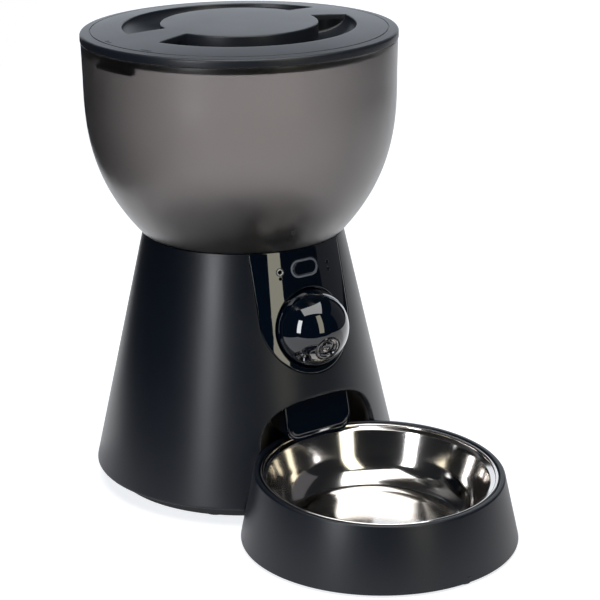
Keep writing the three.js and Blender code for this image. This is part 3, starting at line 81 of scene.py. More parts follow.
LID_RADIUS, LID_EDGE, LID_RIM_Z = 0.1, 0.0018, 0.2964
LID_CROWN, LID_POWER, LID_WALL = 0.005, 2.4, 0.0024
DISC_RADIUS, POCKET_RADIUS, POCKET_DEPTH = 0.0496, 0.0736, 0.012
POCKET_ENDS = (-75, 78)
SKIRT_RADIUS, SKIRT_WALL, SKIRT_Z, FLANGE_Z = 0.0945, 0.0026, 0.2862, 0.2914
SEAL_Z, SEAL_HEIGHT, SEAL_DEPTH = 0.287, 0.0036, 0.0016
LUG_Z, LUG_HEIGHT, LUG_START, LUG_SPAN, LUG_REACH = 0.2817, 0.0031, -97, 20.4, 0.0021
CUP_Z = 0.286
RIM_LINE, BRIM = 0.0927, (0.0955, 0.0967, 0.0976)  # radii of the lid's fine groove and of the rows outside it
ARROW_RING, ARROW_PROUD = 0.0906, 0.00015
MARK_ANGLE, MARK_TOP, MARK_LOW, MARK_HALF = -11, 0.184, 0.1795, 0.0022

PANEL_HALF, PANEL_ROUND_Z, PANEL_THICKNESS = 0.034, 0.1243, 0.0016
SOCKET_Z, SOCKET_PROUD = 0.1183, 0.000335
SOCKET_RADIUS, SOCKET_WALL, SOCKET_MOUTH, SOCKET_LIP = 0.0268, 0.0016, 0.0255, 0.0247
SOCKET_RING, SOCKET_LOW = 0.024, -0.012  # where the lip's height is taken, and where the cup's wall begins
BALL_RADIUS, BALL_WALL, BALL_BACK, BALL_SPLIT = 0.0215, 0.0018, 0.0038, 0.004
BALL_GROWTH = 1.14
PAN_REST, TILT_REST = -27, 27
SLOT_HALF, SLOT_FRONT, SLOT_REAR = 0.0032, 48, 103
LENS_YAW, LENS_PITCH, LENS_RADIUS, LENS_DEPTH = 19.5, 6.5, 0.0072, 0.0052
LAMP_YAW, LAMP_PITCH, LAMP_RADIUS, LAMP_DEPTH = -19.5, -6.5, 0.0043, 0.0034
GLASS_RADIUS = 0.0032
BUTTON_Z, RING_LENGTH, RING_HEIGHT, RING_LINE, RING_DEPTH = 0.1554, 0.0101, 0.0055, 0.0011, 0.0026
MIC_ANGLE, MIC_Z, MIC_RADIUS, MIC_BORE, MIC_DROP = -15.1, 0.1551, 0.0021, 0.0013, 0.004
DOT_ANGLE, DOT_RADIUS, DOT_PITCH = 16.4, 0.0011, 0.0043
KEY_PROUD, KEY_DEPTH = 0.0004, 0.0034
INLET_Z, INLET_RADIUS, INLET_BORE, INLET_BACK, INLET_FLOOR, PIN_RADIUS = 0.024, 0.005, 0.0032, -0.012, -0.009, 0.0009
SPEAKER_Z, SPEAKER_RADIUS, SLOT_PITCH, SLOT_WIDTH = 0.062, 0.0135, 0.0036, 0.0015

ARCH_KNEE, ARCH_KNEE_Z = 0.044, 0.05
ARCH_SHOULDER, ARCH_SHOULDER_Z = 0.042, 0.064
ARCH_CROWN, ARCH_TOP = 0.033, 0.076
RECESS_BACK, RECESS_WALL, RECESS_LOW = 0.056, 0.0018, 0.0051
NOTCH_HALF, NOTCH_TOP = 0.0244, 0.0648

BOWL_FORWARD = 0.14275
HOLDER_FOOT, HOLDER_TOP, HOLDER_HEIGHT = 0.0861, 0.0767, 0.0442
HOLDER_TILT, HOLDER_LIP, HOLDER_WALL, HOLDER_LOW = 0.044, 0.0026, 0.0026, 0.0015
HOLDER_SLOPE = (HOLDER_FOOT - HOLDER_TOP) / HOLDER_HEIGHT
DOCK_GAP = 0.0006
RIM_RADIUS, RIM_ROLL, RIM_DROP = 0.072, 0.0012, 0.0017
BOWL_WALL_RADIUS, BOWL_FLOOR_RADIUS, BOWL_DEPTH, BOWL_SHEET = 0.0696, 0.044, 0.033, 0.0008
SEAT_RADIUS, WELL_GAP, HOLDER_FLOOR = 0.068, 0.0012, 0.002
BOWL_SLOPE, BOWL_ROUND, BOWL_DISH = 18.5, 0.023, 0.0006
HOOD_FRONT, HOOD_HALF, HOOD_LOW, HOOD_CORNER, HOOD_LEAN = 0.083, 0.0242, 0.0482, 0.008, 0.225
HOOD_TOP, HOOD_PROUD, HOOD_PLATE = 0.0775, 0.0002, 0.0028
HOOD_EDGE, HOOD_LOW_EDGE = 0.0007, 0.0023
CHUTE_BACK, CHUTE_RUN, CHUTE_TOP = 0.066, 0.012, 0.078  # the chute's front part, which leans
PAD_RADIUS, PAD_RING, PAD_ANGLES = 0.005, 0.079, (0, 115, -115)
FOOT_PAD_RADIUS, FOOT_PAD_RING, FOOT_PAD_ANGLES, FOOT_PAD_HEIGHT = 0.008, 0.076, (50, 150, -150, -50), 0.002
SCREW_HEAD, SCREW_STEM, SCREW_HEIGHT = 0.003, 0.0015, 0.002

low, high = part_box("tank")
TOWER_Y = (low.y + high.y) / 2
COLUMNS = 256
ARC_STEPS = 8
EDGE_STEPS = 5


# ---------------------------------------------------------------- places
def moved(x=0.0, y=0.0, z=0.0):
    place = np.eye(4)
    place[:3, 3] = x, y, z
    return place


def turned(axis, degrees):
    """A right-handed turn about the X, Y or Z axis."""
    i, j = {"x": (1, 2), "y": (2, 0), "z": (0, 1)}[axis]
    c, s = math.cos(math.radians(degrees)), math.sin(math.radians(degrees))
    place = np.eye(4)
    place[i, i], place[i, j], place[j, i], place[j, j] = c, -s, s, c
    return place


def grown(factor):
    """The same growth along all three axes."""
    return np.diag([factor, factor, factor, 1.0])


def put(points, place):
    return points @ place[:3, :3].T + place[:3, 3]


def cone_radius(z):
    return FOOT_RADIUS - (z - FOOT_Z) * SLOPE


def ring_point(radius, degrees):
    """Angle from the front, growing towards +X."""
    return radius * math.sin(math.radians(degrees)), -radius * math.cos(math.radians(degrees))


TOWER = moved(y=TOWER_Y)
BOWL_STAND = moved(y=TOWER_Y - BOWL_FORWARD)
RIM_PLANE = BOWL_STAND @ moved(z=HOLDER_HEIGHT) @ turned("x", math.degrees(math.atan(HOLDER_TILT)))
OUTWARD = turned("x", 90)  # carries +Z to -Y, the outward normal of a place on the cone
SOCKET = TOWER @ moved(y=-cone_radius(SOCKET_Z) - SOCKET_PROUD, z=SOCKET_Z) @ turned("x", -math.degrees(LEAN))
BALL_CENTRE = put(np.array([0.0, BALL_BACK, 0.0]), SOCKET)
BALL = moved(*BALL_CENTRE) @ turned("z", PAN_REST) @ turned("x", TILT_REST) @ grown(BALL_GROWTH)
LENS = BALL @ turned("z", LENS_YAW) @ turned("x", -LENS_PITCH) @ OUTWARD
LAMP = BALL @ turned("z", LAMP_YAW) @ turned("x", -LAMP_PITCH) @ OUTWARD


def cone_place(degrees, z):
    """The place on the cone at an angle and height whose -Y is the outward normal."""
    return TOWER @ turned("z", degrees) @ moved(y=-cone_radius(z), z=z) @ turned("x", -math.degrees(LEAN))


# ---------------------------------------------------------------- paths and loops
def rounded(corners, closed=False):
    """A path through corners (x, y, radius). Each corner becomes an arc that touches both its sides,
    so its ends lie radius times the tangent of half the turn from the corner."""
    points, count = [], len(corners)
    for i, (x, y, radius) in enumerate(corners):
        here = np.array([x, y], float)
        if radius == 0 or (not closed and i in (0, count - 1)):
            points.append(here[None])
            continue
        back = np.array(corners[i - 1][:2]) - here
        on = np.array(corners[(i + 1) % count][:2]) - here
        back, on = back / np.linalg.norm(back), on / np.linalg.norm(on)
        turn = math.acos(max(-1.0, min(1.0, -float(back @ on))))
        middle = (back + on) / np.linalg.norm(back + on)
        centre = here + middle * radius / math.cos(turn / 2)
        arm = here + back * radius * math.tan(turn / 2) - centre
        sign = 1 if back[1] * on[0] - back[0] * on[1] > 0 else -1
        steps = max(2, math.ceil(ARC_STEPS * turn / (math.pi / 2)))
        a = np.linspace(0, turn, steps + 1) * sign
        points.append(centre + np.stack([arm[0] * np.cos(a) - arm[1] * np.sin(a),
                                         arm[0] * np.sin(a) + arm[1] * np.cos(a)], 1))
    return np.concatenate(points)


def slab(inner, outer, low, high, radii):
    """A rectangular section of (radius, height) and the radii of its corners, from the inner low one round."""
    corners = ((inner, low), (outer, low), (outer, high), (inner, high))
    return rounded([(*corner, radius) for corner, radius in zip(corners, radii)], True)


def line(start, end, spacing):
    """Points from start up to but not including end, about spacing apart."""
    start, end = np.array(start, float), np.array(end, float)
    count = max(1, round(float(np.linalg.norm(end - start)) / spacing))
    return start + (end - start) * (np.arange(count) / count)[:, None]


def circle(radius, count):
    a = np.arange(count) / count * math.tau
    return radius * np.stack([np.cos(a), np.sin(a)], 1)


def stadium(half_length, half_height, spacing=0.0006):
    """A line of half_length - half_height to both sides, widened all round by half_height."""
    straight = half_length - half_height
    a = np.linspace(-math.pi / 2, math.pi / 2, max(8, round(math.pi * half_height / spacing)))
    right = np.stack([straight + half_height * np.cos(a), half_height * np.sin(a)], 1)
    top = line(right[-1], (-straight, half_height), spacing)[1:]
    loop = np.concatenate([right, top])
    return np.concatenate([loop, -loop])


def arch_curve(grow=0.0, count=40, foot=None):
    """The arched opening as (x, z) from left to right: upright sides, then a cubic curve to the top on each side."""
    t = np.linspace(0, 1, count)[:, None]
    knots = np.array([[ARCH_KNEE + grow, ARCH_KNEE_Z], [ARCH_SHOULDER + grow, ARCH_SHOULDER_Z + grow],
                      [ARCH_CROWN, ARCH_TOP + grow], [0, ARCH_TOP + grow]])
    half = ((1 - t) ** 3 * knots[0] + 3 * (1 - t) ** 2 * t * knots[1] + 3 * (1 - t) * t ** 2 * knots[2]
            + t ** 3 * knots[3])
    if foot is not None:
        half = np.concatenate([line((ARCH_KNEE + grow, foot), knots[0], 0.003), half])
    return np.concatenate([half * (-1, 1), half[-2::-1]])


# ---------------------------------------------------------------- grids and sheets
def around(radius, angle, height):
    """Points at a radius, an angle from the front and a height: x = r sin a, y = -r cos a, z = height."""
    return np.stack(np.broadcast_arrays(radius * np.sin(angle), -radius * np.cos(angle), height), -1)


def spread(depth, flat):
    """One depth for each point of flat, from a column of them or a single one."""
    return np.broadcast_to(np.asarray(depth, float).reshape(-1), len(flat))


def grid(points, wrap_rows=False, wrap_columns=False, keep=None):
    """A grid of points (rows, columns, 3) as (points, faces). A wrapped direction joins its two ends."""
    rows, columns = points.shape[:2]
    index = np.arange(rows * columns).reshape(rows, columns)
    if wrap_rows:
        index = np.vstack([index, index[:1]])
    if wrap_columns:
        index = np.hstack([index, index[:, :1]])
    quads = np.stack([index[:-1, :-1], index[:-1, 1:], index[1:, 1:], index[1:, :-1]], -1)
    if keep is not None:
        quads = quads[:, keep]
    return points.reshape(-1, 3), quads.reshape(-1, 4)


def lathe(path, place=np.eye(4), closed=True, columns=COLUMNS):
    """A path of (radius, height) carried round Z."""
    points = around(path[:, :1], np.arange(columns) / columns * math.tau, path[:, 1:])
    return grid(put(points, place), wrap_rows=closed, wrap_columns=True)


def arc_bar(section, start, end, place=TOWER, columns=32):
    """A closed section of (radius, height) carried round Z from start to end degrees, with flat ends."""
    a = np.radians(np.linspace(start, end, columns))[:, None]
    points, faces = grid(put(around(section[:, 0], a, section[:, 1]), place), wrap_columns=True)
    count = len(section)
    ends = [list(range(count))[::-1], list(range(len(points) - count, len(points)))]
    return points, faces, ends


def inset(loop, distance):
    """The loop moved to its left, each side by its own distance. A corner lies where the two moved sides meet."""
    ahead = np.roll(loop, -1, 0) - loop
    left = np.stack([-ahead[:, 1], ahead[:, 0]], 1) / np.linalg.norm(ahead, axis=1)[:, None]
    before, far = np.roll(left, 1, 0), np.roll(distance, 1)
    cross = before[:, 0] * left[:, 1] - before[:, 1] * left[:, 0]
    straight = np.abs(cross) < NEARLY_STRAIGHT
    safe = np.where(straight, 1, cross)
    corner = np.stack([far * left[:, 1] - distance * before[:, 1], distance * before[:, 0] - far * left[:, 0]], 1)
    mean = (before * far[:, None] + left * distance[:, None]) / 2
    return loop + np.where(straight[:, None], mean, corner / safe[:, None])


def inside(points, loops):
    """True where a ray towards +x crosses the loops' sides an odd number of times."""
    start = np.concatenate(loops)
    end = np.concatenate([np.roll(one, -1, 0) for one in loops])
    x, y = points[:, :1], points[:, 1:]
    rise = end[:, 1] - start[:, 1]
    over = (start[:, 1] > y) != (end[:, 1] > y)
    meets = start[:, 0] + (y - start[:, 1]) * (end[:, 0] - start[:, 0]) / np.where(rise == 0, 1, rise)
    return (over & (x < meets)).sum(1) % 2 == 1


def clear_of(points, loops, distance):
    """True where a point is further than distance from every side of the loops."""
    start = np.concatenate(loops)
    side = np.concatenate([np.roll(one, -1, 0) for one in loops]) - start
    away = points[:, None] - start
    share = np.clip((away * side).sum(-1) / np.maximum((side ** 2).sum(-1), 1e-18), 0, 1)
    return np.linalg.norm(away - share[..., None] * side, axis=-1).min(1) > distance


def area(loop):
    """Signed area of a loop, positive when it runs anticlockwise."""
    on = np.roll(loop, -1, 0)
    return float((loop[:, 0] * on[:, 1] - loop[:, 1] * on[:, 0]).sum() / 2)


def skin(loops, onto, wall, edge=0.0006, spacing=0.003, seams=None):
    """A sheet with holes and rounded edges. Its outline and holes lie in a flat plane, and onto(points, depth) lays
    the plane on a surface. The loops are run with the material on their left. The face is a Delaunay mesh of a
    triangular lattice and the loops moved in. Quarter-round rows lead from it to the side wall, and the same mesh
    closes it at depth wall. edge is one radius, or a radius for each side of each loop. A side that is a seam gets no
    wall."""
    parts, inner = [], []
    loops = [loop if (area(loop) > 0) == (number == 0) else loop[::-1] for number, loop in enumerate(loops)]
    for number, loop in enumerate(loops):
        radius = np.broadcast_to(edge[number] if isinstance(edge, list) else edge, len(loop)).astype(float)
        seam = np.zeros(len(loop), bool) if seams is None or number else seams
        wide = np.where(seam, 0, radius)
        depth = np.maximum(radius, np.roll(radius, 1))[:, None]
        first, second = inset(loop, wide), inset(loop, wide * 2)
        rows = [onto(second, np.zeros_like(depth))]
        for t in np.linspace(0, math.pi / 2, EDGE_STEPS):
            rows.append(onto(loop + (first - loop) * (1 - math.sin(t)), depth * (1 - math.cos(t))))
        rows += [onto(loop, np.full_like(depth, wall)), onto(second, np.full_like(depth, wall))]
        parts.append(grid(np.stack(rows), wrap_columns=True, keep=~seam))
        inner.append(second)
    near, far = np.concatenate(inner).min(0), np.concatenate(inner).max(0)
    across = np.arange(near[0], far[0], spacing)
    up = np.arange(near[1], far[1], spacing * math.sqrt(3) / 2)
    x, y = np.meshgrid(across, up)
    x = x + (np.arange(len(up)) % 2 * spacing / 2)[:, None]
    lattice = np.stack([x.ravel(), y.ravel()], 1)
    lattice = lattice[inside(lattice, inner)]
    chunks = [lattice[i:i + 1000] for i in range(0, len(lattice), 1000)]
    lattice = np.concatenate([c[clear_of(c, inner, spacing * 0.55)] for c in chunks] + [np.empty((0, 2))])
    sides, first_index = [], 0
    for loop in inner:
        index = np.arange(len(loop)) + first_index
        sides += np.stack([index, np.roll(index, -1)], 1).tolist()
        first_index += len(loop)
    flat = np.concatenate(inner + [lattice]) * IN_MM
    found = delaunay_2d_cdt([Vector(p) for p in flat.tolist()], sides, [], 0, MERGE_MM)
    flat = np.array([tuple(v) for v in found[0]]) / IN_MM
    triangles = np.array([f for f in found[2] if len(f) == 3])
    first, second = flat[triangles[:, 1]] - flat[triangles[:, 0]], flat[triangles[:, 2]] - flat[triangles[:, 0]]
    wide = np.abs(first[:, 0] * second[:, 1] - first[:, 1] * second[:, 0]) > SLIVER
    triangles = triangles[wide & inside(flat[triangles].mean(1), inner)]
    zero = np.zeros((len(flat), 1))
    parts.append((onto(flat, zero), triangles))
    parts.append((onto(flat, zero + wall), triangles[:, ::-1]))
    return parts


def thick(inner, outer):
    """Two grids of one shape as the two faces of a closed wall, joined along all four edges."""
    def edge(rows, columns):
        return grid(np.stack([inner[rows, columns], outer[rows, columns]]))
    every = slice(None)
    return [grid(inner), grid(outer[:, ::-1]), edge(0, every), edge(-1, every), edge(every, 0), edge(every, -1)]


def added(name, data):
    """A new object in the scene."""
    thing = bpy.data.objects.new(name, data)
    bpy.context.scene.collection.objects.link(thing)
    return thing


def show(name, mesh, body, finish, stands_for, sharp):
    """Shades a mesh smooth but for edges past sharp degrees, gives it its finish, and sets it on its body in place
    of the solids that it stands for."""
    mesh.shade_smooth()
    mesh.set_sharp_from_angle(angle=math.radians(sharp))
    mesh.materials.clear()
    mesh.materials.append(finish.material)
    thing = added(name, mesh)
    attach(thing, body)
    if stands_for:
        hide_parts(*stands_for)
    return thing


def piece(name, parts, body, finish, stands_for=(), sharp=32):
    """One closed object from parts of (points, faces): doubles merged, faces turned outwards, edges past sharp
    degrees kept hard."""
    points, faces, first = [], [], 0
    for part in parts:
        points.append(part[0].reshape(-1, 3))
        faces += (np.asarray(part[1]) + first).tolist()
        for more in part[2:]:
            faces += [[i + first for i in face] for face in more]
        first += len(points[-1])
    mesh = bpy.data.meshes.new(name)
    mesh.from_pydata(np.concatenate(points).tolist(), [], faces)
    tidy = bmesh.new()
    tidy.from_mesh(mesh)
    bmesh.ops.remove_doubles(tidy, verts=tidy.verts, dist=MERGE)
    bmesh.ops.delete(tidy, geom=[edge for edge in tidy.edges if not edge.link_faces], context="EDGES")
    bmesh.ops.recalc_face_normals(tidy, faces=tidy.faces)
    tidy.to_mesh(mesh)
    tidy.free()
    show(name, mesh, body, finish, stands_for, sharp)


def softened(name, node, body, finish, width, sharp=40):
    """A copy of a solid with its doubles merged, flat faces made whole and its edges rounded by width."""
    mesh = frame["nodes"][node].data.copy()
    mesh.name = name
    tidy = bmesh.new()
    tidy.from_mesh(mesh)
    bmesh.ops.remove_doubles(tidy, verts=tidy.verts, dist=MERGE)
    bmesh.ops.dissolve_limit(tidy, angle_limit=math.radians(0.6), verts=tidy.verts, edges=tidy.edges)
    tidy.to_mesh(mesh)
    tidy.free()
    thing = show(name, mesh, body, finish, [node], sharp)
    bevel = thing.modifiers.new("rounded edges", "BEVEL")
    bevel.width, bevel.segments, bevel.limit_method = width, 3, "ANGLE"
    bevel.angle_limit = math.radians(sharp)
    bevel.harden_normals = True
    return thing


# ---------------------------------------------------------------- finishes
class Finish:
    """A material with one Principled shader, for one of the record's slots. Values that are the same all over go
    straight on the shader's sockets."""

    def __init__(self, name, slot=None, **sockets):
        self.slot = slot
        self.material = bpy.data.materials.new(name)
        self.material.use_nodes = True
        self.tree = self.material.node_tree
        self.tree.nodes.clear()
        named = {key.replace("_", " ").title().replace("Ior", "IOR"): value for key, value in sockets.items()}
        self.shader = self.node("ShaderNodeBsdfPrincipled", named)
        self.node("ShaderNodeOutputMaterial", {"Surface": self.shader.outputs[0]})
        self.places = None

    def node(self, kind, sockets=(), **settings):
        """A node with its settings, its sockets linked where they take another socket and set where they don't."""
        node = self.tree.nodes.new(kind)
        for key, value in settings.items():
            setattr(node, key, value)
        for key, value in dict(sockets).items():
            if isinstance(value, bpy.types.NodeSocket):
                self.tree.links.new(value, node.inputs[key])
            else:
                node.inputs[key].default_value = value
        return node

    def noise(self, scale, detail=2.0):
        """Noise on the object's own coordinates, from 0 to 1."""
        if self.places is None:
            self.places = self.node("ShaderNodeTexCoord").outputs["Object"]
        sockets = {"Vector": self.places, "Scale": scale, "Detail": detail}
        return self.node("ShaderNodeTexNoise", sockets).outputs["Fac"]

    def blend(self, share, first, second):
        """One colour where share is 0 and another where it is 1."""
        return self.node("ShaderNodeMix", {"Factor": share, 6: first, 7: second}, data_type="RGBA").outputs[2]

    def set(self, name, socket):
        self.tree.links.new(socket, self.shader.inputs[name])
        return self

    def drifting(self, lowest, drift, scale, detail=2.0):
        """A roughness that drifts over the surface, from lowest up to lowest + drift."""
        sockets = {0: self.noise(scale, detail), 1: drift, 2: lowest}
        return self.set("Roughness", self.node("ShaderNodeMath", sockets, operation="MULTIPLY_ADD").outputs[0])

    def bumped(self, scale, detail, strength, distance=0.0001):
        sockets = {"Height": self.noise(scale, detail), "Strength": strength, "Distance": distance}
        return self.set("Normal", self.node("ShaderNodeBump", sockets).outputs[0])


def moulded(name, slot, colour, roughness, grain=0.12):
    """Moulded plastic: a fine even grain, and a roughness that drifts a little over the surface."""
    return Finish(name, slot, base_color=(*colour, 1)).drifting(roughness - 0.05, 0.1, 18).bumped(2600, 1, grain)


def smoked_plastic():
    """Frosted clear plastic that is darker where it is seen at a slant, so through more of it."""
    finish = Finish("smoked frosted plastic", "smoked", transmission_weight=1.0, ior=1.46)
    slant = finish.node("ShaderNodeLayerWeight", {"Blend": 0.5}).outputs["Facing"]
    finish.set("Base Color", finish.blend(slant, (0.475, 0.445, 0.435, 1), (0.085, 0.084, 0.09, 1)))
    return finish.drifting(0.27, 0.04, 30)


satin_black = moulded("satin black plastic", "satin_black", (0.0024, 0.0046, 0.0095), 0.34)
lid_black = moulded("satin blue black plastic", "lid_black", (0.008, 0.0105, 0.016), 0.37)
# the recess is the same satin black, made much lighter: painted light on its walls
recess_painted_light = moulded("satin black with painted light", "satin_black", (0.095, 0.09, 0.087), 0.42)
inner_black = moulded("plain black plastic", "inner_black", (0.014, 0.0145, 0.016), 0.5)
matt_black = moulded("matt black plastic", "inner_black", (0.008, 0.008, 0.009), 0.85)
rubber = moulded("black rubber", "rubber", (0.018, 0.018, 0.018), 0.75, 0.3)
light_grey = moulded("frosted light guide", "light_grey", (0.15, 0.175, 0.21), 0.35, 0.05)
white_plastic = moulded("natural white plastic", "white_plastic", (0.68, 0.69, 0.64), 0.45)
board_green = moulded("green circuit board", "board", (0.02, 0.11, 0.045), 0.35, 0.2)
cell_wrap = moulded("plain shrink sleeve", "cell_wrap", (0.02, 0.035, 0.05), 0.25, 0.03)
gloss_black = Finish("gloss black plastic", "gloss_black", base_color=(0.0004, 0.0027, 0.0075, 1), coat_weight=1.0,
                     coat_roughness=0.02).drifting(0.03, 0.01, 25)
smoked = smoked_plastic()
steel = Finish("polished steel", "steel", base_color=(0.72, 0.69, 0.66, 1), metallic=1.0)
steel.drifting(0.085, 0.04, 60, 3).bumped(40, 2, 0.03, 0.001)
zinc = Finish("zinc plated metal", "zinc", base_color=(0.5, 0.51, 0.52, 1), metallic=1.0)
zinc.drifting(0.3, 0.15, 300, 3)
dark_trim = Finish("dark polished trim", "steel", base_color=(0.07, 0.072, 0.08, 1), metallic=1.0, roughness=0.16)
chrome = Finish("bright trim", "steel", base_color=(0.5, 0.51, 0.52, 1), metallic=1.0, roughness=0.22)
lens_glass = Finish("coated lens glass", "lens_glass", base_color=(0.004, 0.004, 0.012, 1), roughness=0.02,
                    coat_weight=1.0, coat_roughness=0.01, coat_ior=1.8)
dull_window = Finish("dull dark window", "lens_glass", base_color=(0.003, 0.003, 0.004, 1), roughness=0.6,
                     specular_ior_level=0.1)
mark_black = Finish("printed mark", "inner_black", base_color=(0.01, 0.01, 0.011, 1), roughness=0.5)


# ---------------------------------------------------------------- cone of the base
def cone_flat(degrees, z):
    """Unrolls the cone: its slant distance from the apex, turned by the angle times the sine of its lean."""
    turn = np.radians(degrees) * math.sin(LEAN)
    slant = cone_radius(np.asarray(z, float)) / math.sin(LEAN)
    return np.stack([slant * np.sin(turn), -slant * np.cos(turn)], -1)


def on_cone(flat, depth):
    """The point of the unrolled cone back on the cone, moved inwards by depth."""
    slant = np.hypot(flat[:, 0], flat[:, 1])
    angle = np.arctan2(flat[:, 0], -flat[:, 1]) / math.sin(LEAN)
    depth = spread(depth, flat)
    radius = slant * math.sin(LEAN) - depth * math.cos(LEAN)
    return put(around(radius, angle, APEX_Z - slant * math.cos(LEAN) - depth * math.sin(LEAN)), TOWER)


def front_flat(shape):
    """An outline of (x, z) seen from the front, laid on the cone and unrolled."""
    radius = cone_radius(shape[:, 1])
    return cone_flat(np.degrees(np.arcsin(np.clip(shape[:, 0] / radius, -1, 1))), shape[:, 1])


def patch_flat(degrees, z, shape):
    """A small outline in the tangent plane at an angle and height of the cone, unrolled."""
    turn = math.radians(degrees) * math.sin(LEAN)
    c, s = math.cos(turn), math.sin(turn)
    return cone_flat(degrees, z) + shape @ np.array([[c, s], [-s, c]])


def to_cone(points, along):
    """Slides points of the tower along a direction by Newton steps, until the radius of each is the cone's. Gives the
    points and how far each slid."""
    slid = np.zeros(len(points))
    for _ in range(8):
        reach = np.hypot(points[:, 0], points[:, 1])
        rate = (points[:, :2] @ along[:2]) / reach + SLOPE * along[2]
        step = (cone_radius(points[:, 2]) - reach) / rate
        points, slid = points + step[:, None] * along, slid + step
    return points, slid


def bore_flat(radius, place, count=120):
    """Where a round bore along a place's outward normal meets the cone, unrolled."""
    a = -np.arange(count) / count * math.tau
    local = np.linalg.inv(TOWER) @ place
    points, _ = to_cone(put(np.stack([radius * np.cos(a), 0 * a, radius * np.sin(a)], 1), local), local[:3, 1])
    return cone_flat(np.degrees(np.arctan2(points[:, 0], -points[:, 1])), points[:, 2])


def meeting_angle(tower, holder):
    """Angle from the front at which circles round the tower's and the bowl's axes meet, by the law of cosines."""
    return np.degrees(np.arccos((tower ** 2 + BOWL_FORWARD ** 2 - holder ** 2) / (2 * tower * BOWL_FORWARD)))


def dock_angle(z):
    """Half the angle that the bowl holder takes out of the cone at a height."""
    return meeting_angle(cone_radius(z), HOLDER_FOOT - z * HOLDER_SLOPE + DOCK_GAP)


def panel_outline(grow):
    """The tongue from its top left corner down, round and up again, as (x, z)."""
    half = PANEL_HALF + grow
    a = np.linspace(math.pi, math.tau, 90)
    end = np.stack([half * np.cos(a), PANEL_ROUND_Z + half * np.sin(a)], 1)
    return np.concatenate([line((-half, SEAM_Z), (-half, PANEL_ROUND_Z), 0.002), end,
                           line((half, PANEL_ROUND_Z), (half, SEAM_Z), 0.002)[1:], [[half, SEAM_Z]]])


def base_shell():
    """The cone wall from 90 degrees left of the front right round, with the arch, the holder's dock and the tongue
    cut from its outline, and holes for the power inlet and the speaker's slots. A ring with a groove is the deck."""
    side_z = np.linspace(FOOT_Z, ARCH_KNEE_Z, 200)
    side_x = cone_radius(side_z) * np.sin(np.radians(dock_angle(side_z)))
    meet = side_z[np.argmin(np.abs(side_x - ARCH_KNEE))]
    dock_z = np.linspace(FOOT_Z, meet, 26)
    dock = cone_flat(dock_angle(dock_z), dock_z)
    arch = front_flat(arch_curve(foot=meet))[1:-1]
    foot_edge = dock_angle(FOOT_Z)
    steps = lambda start, end, z: cone_flat(np.linspace(start, end, round(abs(end - start) / 2) + 1), z)
    tongue = front_flat(panel_outline(GAP))
    tongue_angle = math.degrees(math.asin((PANEL_HALF + GAP) / NECK_RADIUS))
    upright = np.linspace(FOOT_Z, SEAM_Z, 40)
    parts = [
        (steps(-90, -foot_edge, FOOT_Z)[:-1], 0.0008), (dock * (-1, 1), 0.001), (arch, 0.001), (dock[::-1], 0.001),
        (steps(foot_edge, 270, FOOT_Z)[1:-1], 0.0008), (cone_flat(270, upright), 0),
        (steps(270, tongue_angle, SEAM_Z)[1:-1], 0.0003), (tongue[::-1], 0.0004),
        (steps(-tongue_angle, -90, SEAM_Z)[1:-1], 0.0003), (cone_flat(-90, upright[::-1][:-1]), 0)]
    outline = np.concatenate([points for points, _ in parts])
    radius = np.concatenate([np.full(len(points), size) for points, size in parts])
    seam = radius == 0
    # the side that leads from the bottom's last point into the seam still belongs to the bottom, and so at the top
    seam &= np.roll(radius, -1) == 0
    seam |= (radius == 0) & (np.arange(len(radius)) == len(radius) - 1)
    ends = np.flatnonzero((radius == 0) & (np.roll(radius, -1) != 0) & ~seam)
    radius[ends] = 0.0003
    holes = [patch_flat(180, INLET_Z, circle(INLET_RADIUS + GAP, 48))]
    for x in SLOT_PITCH * np.arange(-3, 4):
        slot = stadium(math.sqrt(SPEAKER_RADIUS ** 2 - x ** 2), SLOT_WIDTH / 2, 0.0005)[:, ::-1] * (-1, 1)
        holes.append(patch_flat(180, SPEAKER_Z, slot + (x, 0)))
    sheet = skin([outline] + holes, on_cone, SHELL_WALL, [radius] + [0.0003] * len(holes), 0.0035, seam)
    deck_z, groove_z = SEAM_Z - 0.00003, SEAM_Z - 0.0013
    low, reach = SEAM_Z - DECK_THICKNESS, GASKET_OUTER + 0.001
    inner, outer = GASKET_INNER - GAP, GASKET_OUTER + GAP
    deck = rounded([(DECK_BORE, low, 0.0003), (reach, low, 0), (reach, deck_z, 0), (outer, deck_z, 0.0002),
                    (outer, groove_z, 0), (inner, groove_z, 0), (inner, deck_z, 0.0002),
                    (DECK_BORE, deck_z, 0.0003)], True)
    piece("cone_shell", sheet + [lathe(deck, TOWER)], "base", satin_black, ["base_shell"])


def front_panel():
    """The glossy tongue on the unrolled cone, with its bores. Its sides stand 0.3 mm inside the recess."""
    outline = front_flat(panel_outline(0))
    top = math.degrees(math.asin(PANEL_HALF / NECK_RADIUS))
    outline = np.concatenate([outline, cone_flat(np.linspace(top, -top, 40), SEAM_Z)[1:-1]])
    holes = [bore_flat(SOCKET_MOUTH, SOCKET),
             patch_flat(0, BUTTON_Z, stadium(RING_LENGTH + GAP, RING_HEIGHT + GAP)),
             patch_flat(MIC_ANGLE, MIC_Z, circle(MIC_RADIUS + GAP, 32)),
             patch_flat(MIC_ANGLE, MIC_Z - MIC_DROP, circle(MIC_BORE * 0.75, 24))]
    holes += [patch_flat(DOT_ANGLE, MIC_Z - i * DOT_PITCH, circle(DOT_RADIUS + GAP / 2, 24)) for i in (0, 1)]
    edges = [0.0004, 0.0006, 0.0002] + [0.0001] * 4
    sheet = skin([outline] + holes, on_cone, PANEL_THICKNESS, edges, 0.0022)
    piece("glossy_panel", sheet, "base", gloss_black, ["front_panel"])


